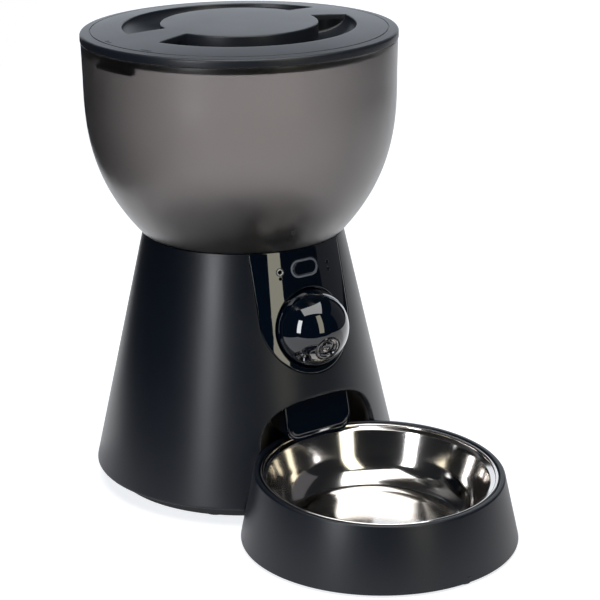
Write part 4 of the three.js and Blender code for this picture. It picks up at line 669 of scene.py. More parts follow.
def key_and_ring():
    """The ring of the light guide and the key in it, both laid on the cone; the key stands a little proud."""
    loops = [patch_flat(0, BUTTON_Z, stadium(RING_LENGTH - line, RING_HEIGHT - line)) for line in (0, RING_LINE)]
    piece("ring_light", skin(loops, on_cone, RING_DEPTH, 0.0002, 0.0008), "base", light_grey, ["light_ring"])
    key = patch_flat(0, BUTTON_Z, stadium(RING_LENGTH - RING_LINE - GAP, RING_HEIGHT - RING_LINE - GAP))
    proud = lambda flat, depth: on_cone(flat, depth - KEY_PROUD)
    piece("feed_key", skin([key], proud, KEY_DEPTH, 0.0005, 0.0009), "button", gloss_black, ["feed_button"])


def small_front_pieces():
    """The microphone's bright ring, and the two indicator windows."""
    trim = slab(MIC_BORE, MIC_RADIUS, -PANEL_THICKNESS, 0.0006, (0, 0, 0.0004, 0.0004))
    piece("microphone_ring", [lathe(trim, cone_place(MIC_ANGLE, MIC_Z) @ OUTWARD, columns=64)], "base", chrome,
          ["microphone_trim"])
    dot = slab(0, DOT_RADIUS, -0.0012, -0.0001, (0, 0, 0.0002, 0))
    for i in (0, 1):
        place = cone_place(DOT_ANGLE, MIC_Z - i * DOT_PITCH) @ OUTWARD
        piece(f"status_window_{i + 1}", [lathe(dot, place, columns=40)], "base", dull_window,
              [f"indicator_window_{i + 1}"])


# ---------------------------------------------------------------- camera
def sunk(x, up):
    """How far the cone lies behind the socket's mouth plane, along its normal."""
    local = np.linalg.inv(TOWER) @ SOCKET
    points = put(np.stack([x, 0 * x, up], -1).reshape(-1, 3), local)
    return to_cone(points, local[:3, 1])[1].reshape(x.shape)


def socket():
    """A cup round the ball under the panel. Its top lies just below the panel's back all the way round, and a
    sloping lip leads in from there to the ball."""
    a = np.arange(192) / 192 * math.tau
    top = -sunk(SOCKET_RING * np.sin(a), SOCKET_RING * np.cos(a)) - PANEL_THICKNESS - GAP
    inner, low = SOCKET_RADIUS - SOCKET_WALL, SOCKET_LOW
    width = lambda radius, height: np.sqrt(radius ** 2 - np.minimum(height + BALL_BACK, 0) ** 2)
    rise = np.linspace(0, 1, 14)[:, None]
    outer_z = low + (top - low) * rise
    lip = np.array([
        (SOCKET_RADIUS - 0.0004, 0.0002), (SOCKET_MOUTH + 0.0006, 0.0002), (SOCKET_MOUTH - 0.0002, 0),
        (SOCKET_LIP + 0.0003, -0.0012), (SOCKET_LIP, -0.0016), (SOCKET_LIP, -0.0024), (SOCKET_LIP + 0.0004, -0.0027)])
    lip_r, lip_z = lip[:, :1] + 0 * a, lip[:, 1:] + top
    inner_z = low + (top - 0.0036 - low) * rise[::-1]
    t = np.linspace(math.asin((-BALL_BACK - low) / SOCKET_RADIUS), math.pi / 2, 22)[1:, None]
    u = np.linspace(math.asin((-BALL_BACK - low) / inner), math.pi / 2, 22)[1:, None]
    rows = [(SOCKET_RADIUS * np.cos(t[::-1]) + 0 * a, -BALL_BACK - SOCKET_RADIUS * np.sin(t[::-1]) + 0 * a),
            (width(SOCKET_RADIUS, outer_z), outer_z), (lip_r, lip_z), (width(inner, inner_z), inner_z),
            (inner * np.cos(u) + 0 * a, -BALL_BACK - inner * np.sin(u) + 0 * a)]
    r, z = np.concatenate([row[0] for row in rows]), np.concatenate([row[1] for row in rows])
    points = np.stack([r * np.sin(a), -z, r * np.cos(a)], -1)
    piece("camera_collar", [grid(put(points, SOCKET), wrap_columns=True)], "base", gloss_black, ["camera_socket"])


def ball_flat(points, side):
    """A point of the ball as its arc from the pole (front -1, rear 1) in the direction of (x, z)."""
    arc = np.arccos(np.clip(side * points[:, 1] / np.linalg.norm(points, axis=1), -1, 1)) * BALL_RADIUS
    way = points[:, [0, 2]]
    return way / np.maximum(np.linalg.norm(way, axis=1), 1e-12)[:, None] * arc[:, None]


def ball_half(name, side, rim, slot_angle, bores, node):
    """Half the ball's shell: a disc of arcs from its pole, notched by the pan shaft's slot, with its bores."""
    def onto(flat, depth):
        arc = np.maximum(np.hypot(flat[:, 0], flat[:, 1]), 1e-12)
        radius = BALL_RADIUS - spread(depth, flat)
        way = flat / arc[:, None] * (np.sin(arc / BALL_RADIUS) * radius)[:, None]
        return put(np.stack([way[:, 0], side * np.cos(arc / BALL_RADIUS) * radius, way[:, 1]], 1), BALL)
    span = math.sqrt(BALL_RADIUS ** 2 - SLOT_HALF ** 2)
    rim_angle = math.acos(rim / span)
    length = abs(rim_angle - math.radians(slot_angle)) * span
    b = np.linspace(rim_angle, math.radians(slot_angle), max(1, round(length / 0.0008)) + 1)[:-1]
    edge = np.stack([0 * b - SLOT_HALF, side * span * np.cos(b), -span * np.sin(b)], 1)
    a = np.linspace(math.pi, 0, 16)
    along, tangent = np.cos(math.radians(slot_angle)), np.sin(math.radians(slot_angle))
    centre = np.array([0, side * along, -tangent]) * BALL_RADIUS
    forward = np.array([0, side * tangent, along])
    end = centre + SLOT_HALF * (np.cos(a)[:, None] * (1, 0, 0) + np.sin(a)[:, None] * forward)
    slot = np.concatenate([edge, end, edge[::-1] * (-1, 1, 1)])
    reach = math.acos(rim / BALL_RADIUS) * BALL_RADIUS
    notch = math.asin(SLOT_HALF / math.sqrt(BALL_RADIUS ** 2 - rim ** 2))
    ring = np.linspace(notch - math.pi / 2, math.pi * 1.5 - notch, 150)[1:-1]
    outline = np.concatenate([ball_flat(slot, side), reach * np.stack([np.cos(ring), np.sin(ring)], 1)])
    loops = [outline]
    for yaw, pitch, radius in bores:
        place = turned("z", yaw) @ turned("x", -pitch) @ OUTWARD
        hole = circle(radius, 72)
        height = math.sqrt(BALL_RADIUS ** 2 - radius ** 2)
        loops.append(ball_flat(put(np.hstack([hole, np.full((72, 1), height)]), place), side))
    piece(name, skin(loops, onto, BALL_WALL, 0.0002, 0.0016), "ball", gloss_black, [node])


def lens_and_lamp():
    """Turned about their own axes: a stepped barrel, its retaining ring, the glass, and a lamp in a cup."""
    front, back = math.sqrt(BALL_RADIUS ** 2 - LENS_RADIUS ** 2), BALL_RADIUS - LENS_DEPTH
    r, bore = LENS_RADIUS, GLASS_RADIUS + GAP
    barrel = rounded([
        (0, back, 0), (r, back, 0), (r, front - 0.0007, 0.0002), (r - 0.0006, front, 0.0004),
        (r - 0.0014, front, 0.0003), (r - 0.0017, front - 0.0007, 0.0001), (r - 0.0026, front - 0.0009, 0.0002),
        (r - 0.0029, front - 0.0017, 0.0001), (bore + 0.0005, front - 0.0018, 0.0001), (bore, back + 0.0026, 0),
        (bore, back + 0.0012, 0), (0, back + 0.0012, 0)])
    piece("lens_tube", [lathe(barrel, LENS, False, 96)], "ball", gloss_black, ["lens_barrel"])
    ring = slab(GLASS_RADIUS, GLASS_RADIUS + 0.0007, back + 0.0026, front - 0.0015, (0.0001, 0.0001, 0.0002, 0.0002))
    piece("lens_ring", [lathe(ring, LENS, columns=96)], "ball", dark_trim)
    t = np.linspace(0, math.pi / 2, 16)[:, None]
    dome = np.hstack([(GLASS_RADIUS - 0.0001) * np.cos(t), back + 0.0029 + 0.0011 * np.sin(t)])
    glass = np.concatenate([[[0, back + 0.0015], [GLASS_RADIUS - 0.0001, back + 0.0015]], dome])
    piece("front_lens", [lathe(glass, LENS, False, 72)], "ball", lens_glass, ["lens_glass"])
    low, top = BALL_RADIUS - LAMP_DEPTH, math.sqrt(BALL_RADIUS ** 2 - LAMP_RADIUS ** 2)
    cup = rounded([(0, low, 0), (LAMP_RADIUS, low, 0), (LAMP_RADIUS, top, 0.0003),
                   (LAMP_RADIUS - 0.0007, top, 0.0002), (0.0021, low + 0.001, 0.0002), (0, low + 0.001, 0)])
    piece("lamp_cup", [lathe(cup, LAMP, False, 64)], "ball", dark_trim)
    bulb = np.hstack([0.0019 * np.cos(t), low + 0.0018 + 0.0009 * np.sin(t)])
    bulb = np.concatenate([[[0, low + 0.0008], [0.0019, low + 0.0008]], bulb])
    piece("lamp_dome", [lathe(bulb, LAMP, False, 48)], "ball", lens_glass, ["infrared_lamp"])


# ---------------------------------------------------------------- tank and lid
def tank_radius(z):
    """Flattens from the neck to upright as 1 - (1 - share) ** power, then leans out slightly up to the rim."""
    share = np.minimum(1, (z - SEAM_Z) / (TANK_SHOULDER_Z - SEAM_Z))
    over = np.maximum(0, (z - TANK_SHOULDER_Z) / (TANK_RIM_Z - TANK_SHOULDER_Z))
    curve = NECK_RADIUS + (TANK_SHOULDER_RADIUS - NECK_RADIUS) * (1 - (1 - share) ** TANK_POWER)
    return curve + (TANK_RIM_RADIUS - TANK_SHOULDER_RADIUS) * over


def tank():
    """The wall's outside is moved in along its own normals to give the inside. The spigot, lugs and tabs join it."""
    z = np.concatenate([np.linspace(TANK_SEAT, TANK_SHOULDER_Z, 70), np.linspace(TANK_SHOULDER_Z, TANK_RIM_Z, 9)[1:]])
    outside = np.stack([tank_radius(z), z], 1)
    lean = np.gradient(outside[:, 0], z)
    normal = np.stack([1 + 0 * lean, -lean], 1) / np.hypot(1, lean)[:, None]
    within = outside - normal * TANK_WALL
    within = within[(within[:, 1] > TANK_SEAT + TANK_WALL + 0.0008) & (within[:, 1] < TANK_RIM_Z - 0.001)]
    bore = SPIGOT_RADIUS - TANK_WALL
    ends = rounded([(outside[-2][0], outside[-2][1], 0), (TANK_RIM_RADIUS, TANK_RIM_Z, 0.0008),
                    (TANK_RIM_RADIUS - TANK_WALL, TANK_RIM_Z, 0.0008), (*within[-1], 0)])
    bottom, low = TANK_SEAT + TANK_WALL, TANK_SEAT - SPIGOT_DEPTH
    foot = rounded([
        (*within[0], 0), (bore + 0.006, bottom, 0.002), (bore, bottom, 0.001), (bore, low, 0.0005),
        (SPIGOT_RADIUS, low, 0.0005), (SPIGOT_RADIUS, TANK_SEAT, 0.0003), (NECK_RADIUS - 0.0002, TANK_SEAT, 0.0003),
        (*outside[1], 0)])
    path = np.concatenate([outside[2:-2], ends, within[1:-1][::-1], foot])
    parts = [lathe(path, TOWER)]
    lug_top = SEAM_Z - DECK_THICKNESS - GAP
    lug = slab(SPIGOT_RADIUS - 0.0005, SPIGOT_RADIUS + TANK_LUG_REACH, lug_top - TANK_LUG_HEIGHT, lug_top,
               (0, 0.0004, 0.0004, 0))
    parts += [arc_bar(lug, angle - TANK_LUG_HALF, angle + TANK_LUG_HALF) for angle in TANK_LUG_ANGLES]
    tab_z = LUG_Z + LUG_HEIGHT + GAP
    wall = TANK_RIM_RADIUS - TANK_WALL
    tab = slab(wall - TAB_REACH, wall + 0.0006, tab_z, tab_z + TAB_HEIGHT, (0.0003, 0, 0, 0.0003))
    tab_end = LUG_START - 4
    parts += [arc_bar(tab, tab_end - TAB_SPAN + turn, tab_end + turn) for turn in (0, 180)]
    piece("food_tank", parts, "tank", smoked, ["tank"])
    mark = np.array([[-MARK_HALF, MARK_TOP], [MARK_HALF, MARK_TOP], [0, MARK_LOW]])
    shape = np.stack([mark, mark])
    radius = tank_radius(shape[..., 1]) + np.array([0.00012, -0.0002])[:, None]
    angle = math.radians(MARK_ANGLE) + shape[..., 0] / radius
    faces = grid(put(around(radius, angle, shape[..., 1]), TOWER), wrap_columns=True) + ([[0, 1, 2], [5, 4, 3]],)
    piece("fill_mark", [faces], "tank", mark_black)


def lid_height(r):
    """The lid's crown: it falls from the middle to the edge's rounding by the power of the radius."""
    flat = LID_RADIUS - LID_EDGE
    return LID_RIM_Z + LID_CROWN * (1 - (np.minimum(r, flat) / flat) ** LID_POWER)


def pocket_path(grow):
    """Section of a finger pocket as (radius, depth): upright at the disc, then a quarter ellipse to the far edge."""
    width = POCKET_RADIUS - DISC_RADIUS + grow
    t = np.radians(np.linspace(12, 84, 30))
    ellipse = np.stack([DISC_RADIUS + width * np.sin(t), POCKET_DEPTH * np.cos(t)], 1)
    near, far = DISC_RADIUS - grow, DISC_RADIUS + width
    return rounded([(near - 0.003, 0, 0), (near, 0, 0.0009), (near, POCKET_DEPTH, 0.002),
                    *((*point, 0) for point in ellipse), (far, 0, 0.0009), (far + 0.003, 0, 0)])


def lid_columns():
    """Angles round the lid with how far a pocket has sunk at each, from 0 to 1: its end walls drop at one angle,
    with a small rounding at the top and a larger one at the floor."""
    middle = (DISC_RADIUS + POCKET_RADIUS) / 2
    drop = rounded([(-0.003, 0, 0), (0, 0, 0.0009), (0, POCKET_DEPTH, 0.002), (0.005, POCKET_DEPTH, 0)])
    away, sunk = np.degrees(drop[:, 0] / middle), drop[:, 1] / POCKET_DEPTH
    angles, shares = [], []
    for turn in (0, 180):
        start, end = POCKET_ENDS[0] + turn, POCKET_ENDS[1] + turn
        inside_angles = np.linspace(start + away[-1], end - away[-1], 70)[1:-1]
        outside_angles = np.linspace(end + 3.0, start + 180 - 3.0, 10)
        angles += [start + away, inside_angles, end - away[::-1], outside_angles]
        shares += [sunk, np.ones(len(inside_angles)), sunk[::-1], np.zeros(len(outside_angles))]
    return np.concatenate(angles), np.concatenate(shares)


def lid():
    """Rows run from the middle of the top over the edge, round the skirt and back under. A row is (radius, height,
    pocket depth), and a point's height is the row's less its depth times the column's share."""
    angle, share = lid_columns()
    flat = LID_RADIUS - LID_EDGE
    top = pocket_path(0)
    middle = np.linspace(0, top[0, 0], 14)[:-1]
    brink = np.linspace(top[-1, 0], RIM_LINE - 0.0002, 9)[1:]
    r = np.concatenate([middle, top[:, 0], brink])
    depth = np.concatenate([0 * middle, top[:, 1], 0 * brink])
    groove = rounded([(0, 0, 0), (0.0005, 0, 0.0001), (0.0006, 0.0005, 0.0001), (0.0011, 0.0005, 0.0001),
                      (0.0012, 0, 0.0001), (0.0017, 0, 0)]) + (RIM_LINE, 0)
    brim = np.array(BRIM)
    rows = [np.stack([r, lid_height(r), depth], 1),
            np.stack([groove[:, 0], lid_height(groove[:, 0]) - groove[:, 1], 0 * groove[:, 0]], 1),
            np.stack([brim, lid_height(brim), 0 * brim], 1)]
    t = np.linspace(0, math.pi / 2, 16)
    edge = np.stack([flat + LID_EDGE * np.sin(t), LID_RIM_Z - LID_EDGE * (1 - np.cos(t))], 1)
    inner = SKIRT_RADIUS - SKIRT_WALL
    seal_low, seal_high, seal_in = SEAL_Z - GAP, SEAL_Z + SEAL_HEIGHT + GAP, SKIRT_RADIUS - SEAL_DEPTH
    ceiling = lid_height(inner) - LID_WALL
    side = rounded([
        (*edge[-1], 0), (LID_RADIUS, FLANGE_Z, 0.0002), (SKIRT_RADIUS, FLANGE_Z, 0.0002),
        (SKIRT_RADIUS, seal_high, 0), (seal_in, seal_high, 0), (seal_in, seal_low, 0), (SKIRT_RADIUS, seal_low, 0),
        (SKIRT_RADIUS, SKIRT_Z, 0.0003), (inner, SKIRT_Z, 0.0003), (inner, ceiling, 0.001),
        (inner - 0.003, ceiling, 0)])
    for path in (edge[:-1], side):
        rows.append(np.hstack([path, np.zeros((len(path), 1))]))
    under = pocket_path(LID_WALL)[::-1]
    under = under[under[:, 0] > DISC_RADIUS + 0.0002]
    rows.append(np.stack([under[:, 0], lid_height(under[:, 0]) - LID_WALL, under[:, 1]], 1))
    hub = DISC_RADIUS - LID_WALL
    ceiling = lid_height(hub) - LID_WALL
    cup = rounded([(DISC_RADIUS, CUP_Z + 0.002, 0), (DISC_RADIUS, CUP_Z, 0.0004), (hub, CUP_Z, 0.0004),
                   (hub, ceiling, 0.001), (hub - 0.003, ceiling, 0)])
    rows.append(np.hstack([cup, np.zeros((len(cup), 1))]))
    r = np.linspace(hub - 0.004, 0, 10)
    rows.append(np.stack([r, lid_height(r) - LID_WALL, 0 * r], 1))
    rows = np.concatenate(rows)
    points = around(rows[:, :1], np.radians(angle), rows[:, 1:2] - rows[:, 2:] * share)
    parts = [grid(put(points, TOWER), wrap_columns=True)]
    out, high = SKIRT_RADIUS + LUG_REACH, LUG_Z + LUG_HEIGHT
    lug = rounded([(inner, LUG_Z, 0.0003), (out, LUG_Z, 0.0005), (out, high, 0.0005), (SKIRT_RADIUS, high, 0.0002),
                   (SKIRT_RADIUS, SKIRT_Z + 0.0004, 0), (inner, SKIRT_Z + 0.0004, 0)], True)
    parts += [arc_bar(lug, LUG_START + turn, LUG_START + LUG_SPAN + turn) for turn in (0, 180)]
    piece("domed_lid", parts, "lid", lid_black, ["lid"], sharp=40)


def lid_marks():
    """Two small raised arrows on the lid by its edge: one bent to the left and one to the right."""
    def arrow(middle, way, name):
        shaft = [(-4, -0.35), (1.5, -0.35), (1.5, -1.3), (4, 0), (1.5, 1.3), (1.5, 0.35), (-4, 0.35)]
        loop = np.concatenate([line(shaft[i], shaft[(i + 1) % len(shaft)], 0.4) for i in range(len(shaft))]) * 0.001
        def onto(flat, depth):
            r = ARROW_RING + flat[:, 1]
            angle = math.radians(middle) + way * flat[:, 0] / r
            return put(around(r, angle, lid_height(r) + ARROW_PROUD - spread(depth, flat)), TOWER)
        piece(name, skin([loop], onto, 0.0004, 0.00008, 0.001), "lid", lid_black)
    arrow(-72, 1, "arrow_mark_1")
    arrow(-96, -1, "arrow_mark_2")


def seals():
    """The lid's seal with two round lips, and the tank's flat gasket."""
    inner, outer = SKIRT_RADIUS - SEAL_DEPTH + 0.0002, TANK_RIM_RADIUS - TANK_WALL - 0.0003
    lip = SEAL_HEIGHT / 2
    corners = [(inner, SEAL_Z, 0)]
    for i in range(2):
        corners += [(outer - 0.0012, SEAL_Z + i * lip, 0.0001), (outer, SEAL_Z + (i + 0.5) * lip, 0.0006)]
    corners += [(outer - 0.0012, SEAL_Z + SEAL_HEIGHT, 0.0001), (inner, SEAL_Z + SEAL_HEIGHT, 0)]
    piece("seal_ring", [lathe(rounded(corners, True), TOWER)], "lid", rubber, ["lid_seal"])
    flat = slab(GASKET_INNER, GASKET_OUTER, SEAM_Z - 0.001, SEAM_Z + 0.0002, (0, 0, 0.0003, 0.0003))
    piece("gasket_ring", [lathe(flat, TOWER)], "base", rubber, ["tank_gasket"])


# ---------------------------------------------------------------- outlet
def recess():
    """A wall that follows the arch from the cone's inside to the back plane, and a notched plate across its back."""
    inner, outer = arch_curve(foot=RECESS_LOW), arch_curve(RECESS_WALL, foot=RECESS_LOW)
    def wall(shape):
        reach = cone_radius(shape[:, 1]) - SHELL_WALL / math.cos(LEAN) + 0.0006
        front = -np.sqrt(np.maximum(reach ** 2 - shape[:, 0] ** 2, 0))
        t = np.linspace(0, 1, 10)[:, None]
        y = front + (-(RECESS_BACK - RECESS_WALL) - front) * t
        return put(np.stack([shape[:, 0] + 0 * y, y, shape[:, 1] + 0 * y], -1), TOWER)
    arch = arch_curve(0.0001, foot=RECESS_LOW + 0.0001)
    left, right = arch[arch[:, 0] < -NOTCH_HALF - 0.0002], arch[arch[:, 0] > NOTCH_HALF + 0.0002]
    notch = [(-NOTCH_HALF, left[-1, 1]), (-NOTCH_HALF, NOTCH_TOP), (NOTCH_HALF, NOTCH_TOP), (NOTCH_HALF, right[0, 1])]
    plate = np.concatenate([left, notch, right])[::-1]
    onto = lambda flat, depth: put(np.stack([flat[:, 0], spread(depth, flat) - RECESS_BACK, flat[:, 1]], 1), TOWER)
    parts = thick(wall(inner), wall(outer)) + skin([plate], onto, RECESS_WALL - 0.0001, 0.0002, 0.004)
    piece("arch_recess", parts, "base", recess_painted_light, ["outlet_recess"])


def hood_lean(z):
    """How far back the hood's front leans at a height."""
    return np.maximum(0, z - HOOD_LOW) * HOOD_LEAN


def hood():
    """The chute with its front leant back, so that it stays inside the cone up to the arch, and a smooth flat plate
    with round lower corners over that front."""
    chute = softened("outlet_hood", "chute", "base", gloss_black, 0.0006)
    points = np.empty(len(chute.data.vertices) * 3, np.float32)
    chute.data.vertices.foreach_get("co", points)
    points = points.reshape(-1, 3)
    share = np.clip((TOWER_Y - CHUTE_BACK - points[:, 1]) / CHUTE_RUN, 0, 1)
    points[:, 1] += share * hood_lean(np.minimum(points[:, 2], CHUTE_TOP))
    chute.data.vertices.foreach_set("co", points.ravel())
    chute.data.update()
    half, low = HOOD_HALF + 0.0002, HOOD_LOW + 0.0001
    loop = rounded([(-half, HOOD_TOP, 0), (-half, low, HOOD_CORNER), (half, low, HOOD_CORNER), (half, HOOD_TOP, 0)])
    loop = np.concatenate([line(loop[i], loop[(i + 1) % len(loop)], 0.001) for i in range(len(loop))])
    def onto(flat, depth):
        back = hood_lean(flat[:, 1]) + spread(depth, flat) - HOOD_FRONT - HOOD_PROUD
        return put(np.stack([flat[:, 0], back, flat[:, 1]], 1), TOWER)
    low_side = np.clip((low + 0.009 - loop[:, 1]) / 0.005, 0, 1)
    edges = HOOD_EDGE + (HOOD_LOW_EDGE - HOOD_EDGE) * low_side
    piece("hood_front", skin([loop], onto, HOOD_PLATE, [edges], 0.0016), "base", gloss_black)


# ---------------------------------------------------------------- bowl and holder
def bowl_section(grow, count=40):
    """The holder's well below the rim as (radius, height), on the bowl's seat, floor and depth: powers of a quarter
    turn's cosine and sine, moved out by grow."""
    top, floor = -RIM_DROP - RIM_ROLL - GAP, -RIM_DROP - BOWL_DEPTH
    t = np.linspace(0, math.pi / 2, count)
    r = BOWL_FLOOR_RADIUS + (SEAT_RADIUS - BOWL_FLOOR_RADIUS) * np.cos(t) ** 0.75
    z = floor + (top - floor) * (1 - np.sin(t) ** 0.9)
    path = np.stack([r + grow * np.cos(t), z - grow * np.sin(t)], 1)
    inner = np.linspace(path[-1, 0], 0, 12)[1:]
    return np.concatenate([path, np.stack([inner, 0 * inner + floor - grow], 1)])


def steel_section(grow):
    """The steel bowl below its rim as (radius, height): a straight slanted wall, an arc, and a floor that sinks to
    the middle with the square of the radius."""
    top, floor, slope = -RIM_DROP - RIM_ROLL - GAP, -RIM_DROP - BOWL_DEPTH + BOWL_DISH, math.radians(BOWL_SLOPE)
    end = floor + BOWL_ROUND * (1 - math.sin(slope))
    centre = SEAT_RADIUS - (top - end) * math.tan(slope) - BOWL_ROUND * math.cos(slope)
    t = np.linspace(slope, math.pi / 2, 36)
    radius = BOWL_ROUND + grow
    arc = np.stack([centre + radius * np.cos(t), floor + BOWL_ROUND - radius * np.sin(t)], 1)
    inner = np.linspace(arc[-1, 0], 0, 12)[1:]
    dish = np.stack([inner, floor - grow - BOWL_DISH * (1 - (inner / arc[-1, 0]) ** 2)], 1)
    return np.concatenate([line((SEAT_RADIUS + grow, top), arc[0], 0.002), arc, dish])


def steel_bowl():
    """One sheet: up the inside, over a rolled rim of 225 degrees and down the outside."""
    a = np.radians(np.linspace(180, -45, 26))
    roll = np.stack([RIM_RADIUS + RIM_ROLL * np.cos(a), -RIM_DROP + RIM_ROLL * np.sin(a)], 1)
    inner = steel_section(0)[::-1]
    ramp = rounded([(*inner[-2], 0), (*inner[-1], 0.0004), (BOWL_WALL_RADIUS, -RIM_DROP - RIM_ROLL / 2, 0.0006),
                    (*roll[0], 0)])
    path = np.concatenate([inner[:-2], ramp, roll[1:], [[BOWL_WALL_RADIUS + BOWL_SHEET, -RIM_DROP - RIM_ROLL]],
                           steel_section(BOWL_SHEET)])
    piece("bowl", [lathe(path, RIM_PLANE, False)], "bowl", steel, ["steel_bowl"], sharp=50)


def bowl_holder():
    """A closed section carried round the bowl's axis. Each point lifts with its distance behind the axis, by the
    rim's slope times a share that is 0 at the foot and 1 at the rim and in the well."""
    h, around_rim, well_gap = HOLDER_HEIGHT, RIM_RADIUS + RIM_ROLL + 0.0006, BOWL_SHEET + WELL_GAP
    seat, ledge = h - RIM_DROP - RIM_ROLL - GAP, SEAT_RADIUS + well_gap
    outside = rounded([
        (HOLDER_FOOT - 0.004, HOLDER_LOW, 0), (HOLDER_FOOT - HOLDER_LOW * HOLDER_SLOPE, HOLDER_LOW, 0.0008),
        (HOLDER_TOP + 0.0002, h, HOLDER_LIP * 0.55), (around_rim, h, 0.0006), (around_rim, seat, 0.0003),
        (ledge, seat, 0.0005), (ledge - 0.0004, seat - 0.003, 0)])
    well = bowl_section(well_gap) + (0, h)
    well = well[well[:, 1] < outside[-1, 1] - 0.001]
    under = bowl_section(well_gap + HOLDER_FLOOR)[::-1] + (0, h)
    seat_low = seat - HOLDER_FLOOR - 0.001
    under = under[under[:, 1] < seat_low - 0.001]
    inner_top = HOLDER_TOP - HOLDER_WALL + 0.0008
    inside_wall = rounded([(*under[-1], 0), (SEAT_RADIUS + 0.004, seat_low, 0.001), (inner_top, seat_low, 0.001),
                           (HOLDER_FOOT - HOLDER_WALL, HOLDER_LOW, 0.0004), (HOLDER_FOOT - 0.004, HOLDER_LOW, 0)])
    path = np.concatenate([outside, well, under[:-1], inside_wall[:-1]])
    share = np.ones(len(path))
    first, last = len(outside), len(path) - len(inside_wall) + 1
    share[:first] = np.clip(path[:first, 1] / h, 0, 1)
    share[:first][path[:first, 0] < HOLDER_TOP - 0.001] = 1
    foot = path[:first, 1] < 0.01
    share[:first] = np.where(foot, path[:first, 1] / h, share[:first])
    share[last:] = np.clip(path[last:, 1] / h, 0, 1)
    a = np.arange(COLUMNS) / COLUMNS * math.tau
    points = around(path[:, :1], a, path[:, 1:])
    points[..., 2] += share[:, None] * HOLDER_TILT * points[..., 1]
    parts = [grid(put(points, BOWL_STAND), wrap_rows=True, wrap_columns=True)]
    boss = slab(0, PAD_RADIUS + 0.0013, HOLDER_LOW, 0.005, (0, 0.0003, 0.0003, 0))
    parts += [lathe(boss, BOWL_STAND @ moved(*ring_point(PAD_RING, angle)), False, 48) for angle in PAD_ANGLES]
    piece("holder_shell", parts, "holder", satin_black, ["bowl_holder"])
    pads("holder_foot", "holder_pad", slab(0, PAD_RADIUS, 0, 0.0012, (0, 0.0004, 0.0002, 0)), BOWL_STAND, PAD_RING,
         PAD_ANGLES, "holder", 48)


def pads(name, node, path, stand, ring, angles, body, columns):
    """A round rubber pad turned from path at each angle of a ring."""
    for i, angle in enumerate(angles):
        sheet = lathe(path, stand @ moved(*ring_point(ring, angle)), False, columns)
        piece(f"{name}_{i + 1}", [sheet], body, rubber, [f"{node}_{i + 1}"])


# ---------------------------------------------------------------- underside and rear
def bottom_plate():
    """The plate with the dock cut from its front and the battery bay from its middle, and the plinth round it."""
    dock = HOLDER_FOOT + DOCK_GAP - 0.0008
    half = meeting_angle(PLINTH_RADIUS, dock)
    a = np.radians(np.linspace(half, 360 - half, 170))
    rim = PLINTH_RADIUS * np.stack([np.sin(a), -np.cos(a)], 1)
    edge = rim[-1] + (0, BOWL_FORWARD)
    b = np.linspace(math.atan2(*edge), -math.atan2(*edge), 60)[1:-1]
    cut = np.stack([dock * np.sin(b), -BOWL_FORWARD + dock * np.cos(b)], 1)
    outline = np.concatenate([rim, cut])
    lo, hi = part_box("battery_door")
    x, y0, y1 = hi.x + GAP, lo.y - TOWER_Y - GAP, hi.y - TOWER_Y + 0.0083
    hole = slab(-x, x, y0, y1, [0.001] * 4)
    onto = lambda flat, depth: put(np.column_stack([flat, PLATE_Z + spread(depth, flat)]), TOWER)
    parts = skin([outline, hole], onto, PLATE_THICKNESS, [0.0006, 0.0003], 0.006)
    wall = slab(PLINTH_RADIUS - PLINTH_WALL, PLINTH_RADIUS - 0.00002, PLATE_Z + 0.001, PLINTH_TOP,
                (0, 0, 0.0004, 0.0004))
    outer = cone_radius(PLINTH_TOP) - SHELL_WALL / math.cos(LEAN) - GAP
    flange = slab(PLINTH_RADIUS - 0.001, outer, PLINTH_TOP - 0.0025, PLINTH_TOP, (0, 0.0003, 0.0003, 0))
    for bar, clear in ((wall, 0.4), (flange, 3)):
        parts.append(arc_bar(bar, half + clear, 360 - clear - half, columns=200))
    piece("bottom_cover", parts, "base", inner_black, ["base_plate"])


def feet_and_screws():
    """Four feet with a groove in their face, and a round head and a stem for each screw."""
    r = FOOT_PAD_RADIUS
    foot = rounded([(0, 0, 0), (r - 0.0025, 0, 0.0002), (r - 0.0022, 0.0004, 0.0001), (r - 0.0018, 0, 0.0001),
                    (r, 0, 0.0005), (r, FOOT_PAD_HEIGHT, 0.0002), (0, FOOT_PAD_HEIGHT, 0)])
    pads("rubber_foot", "foot_pad", foot, TOWER, FOOT_PAD_RING, FOOT_PAD_ANGLES, "base", 64)
    for node in [f"base_screw_{i}" for i in range(1, 5)] + [f"housing_screw_{i}" for i in range(1, 4)]:
        lo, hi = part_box(node)
        under = lo.z + SCREW_HEIGHT
        path = rounded([(0, lo.z, 0), (SCREW_HEAD, lo.z, 0.0006), (SCREW_HEAD, under, 0.0002),
                        (SCREW_STEM, under, 0), (SCREW_STEM, hi.z, 0.0003), (0, hi.z, 0)])
        place = moved((lo.x + hi.x) / 2, (lo.y + hi.y) / 2)
        piece(node + "_turned", [lathe(path, place, False, 32)], "base", zinc, [node])


def rear_inlet():
    """A round socket with a centre pin, sunk in the rear of the cone."""
    place = cone_place(180, INLET_Z) @ OUTWARD
    body = rounded([(0, INLET_BACK, 0), (INLET_RADIUS, INLET_BACK, 0), (INLET_RADIUS, 0, 0.0004),
                    (INLET_BORE, 0, 0.0003), (INLET_BORE, INLET_FLOOR, 0), (0, INLET_FLOOR, 0)])
    piece("power_socket", [lathe(body, place, False, 64)], "base", inner_black, ["power_inlet"])
    pin = slab(0, PIN_RADIUS, INLET_FLOOR - 0.0005, -0.003, (0, 0, 0.0003, 0))
    piece("power_pin", [lathe(pin, place, False, 32)], "base", chrome)


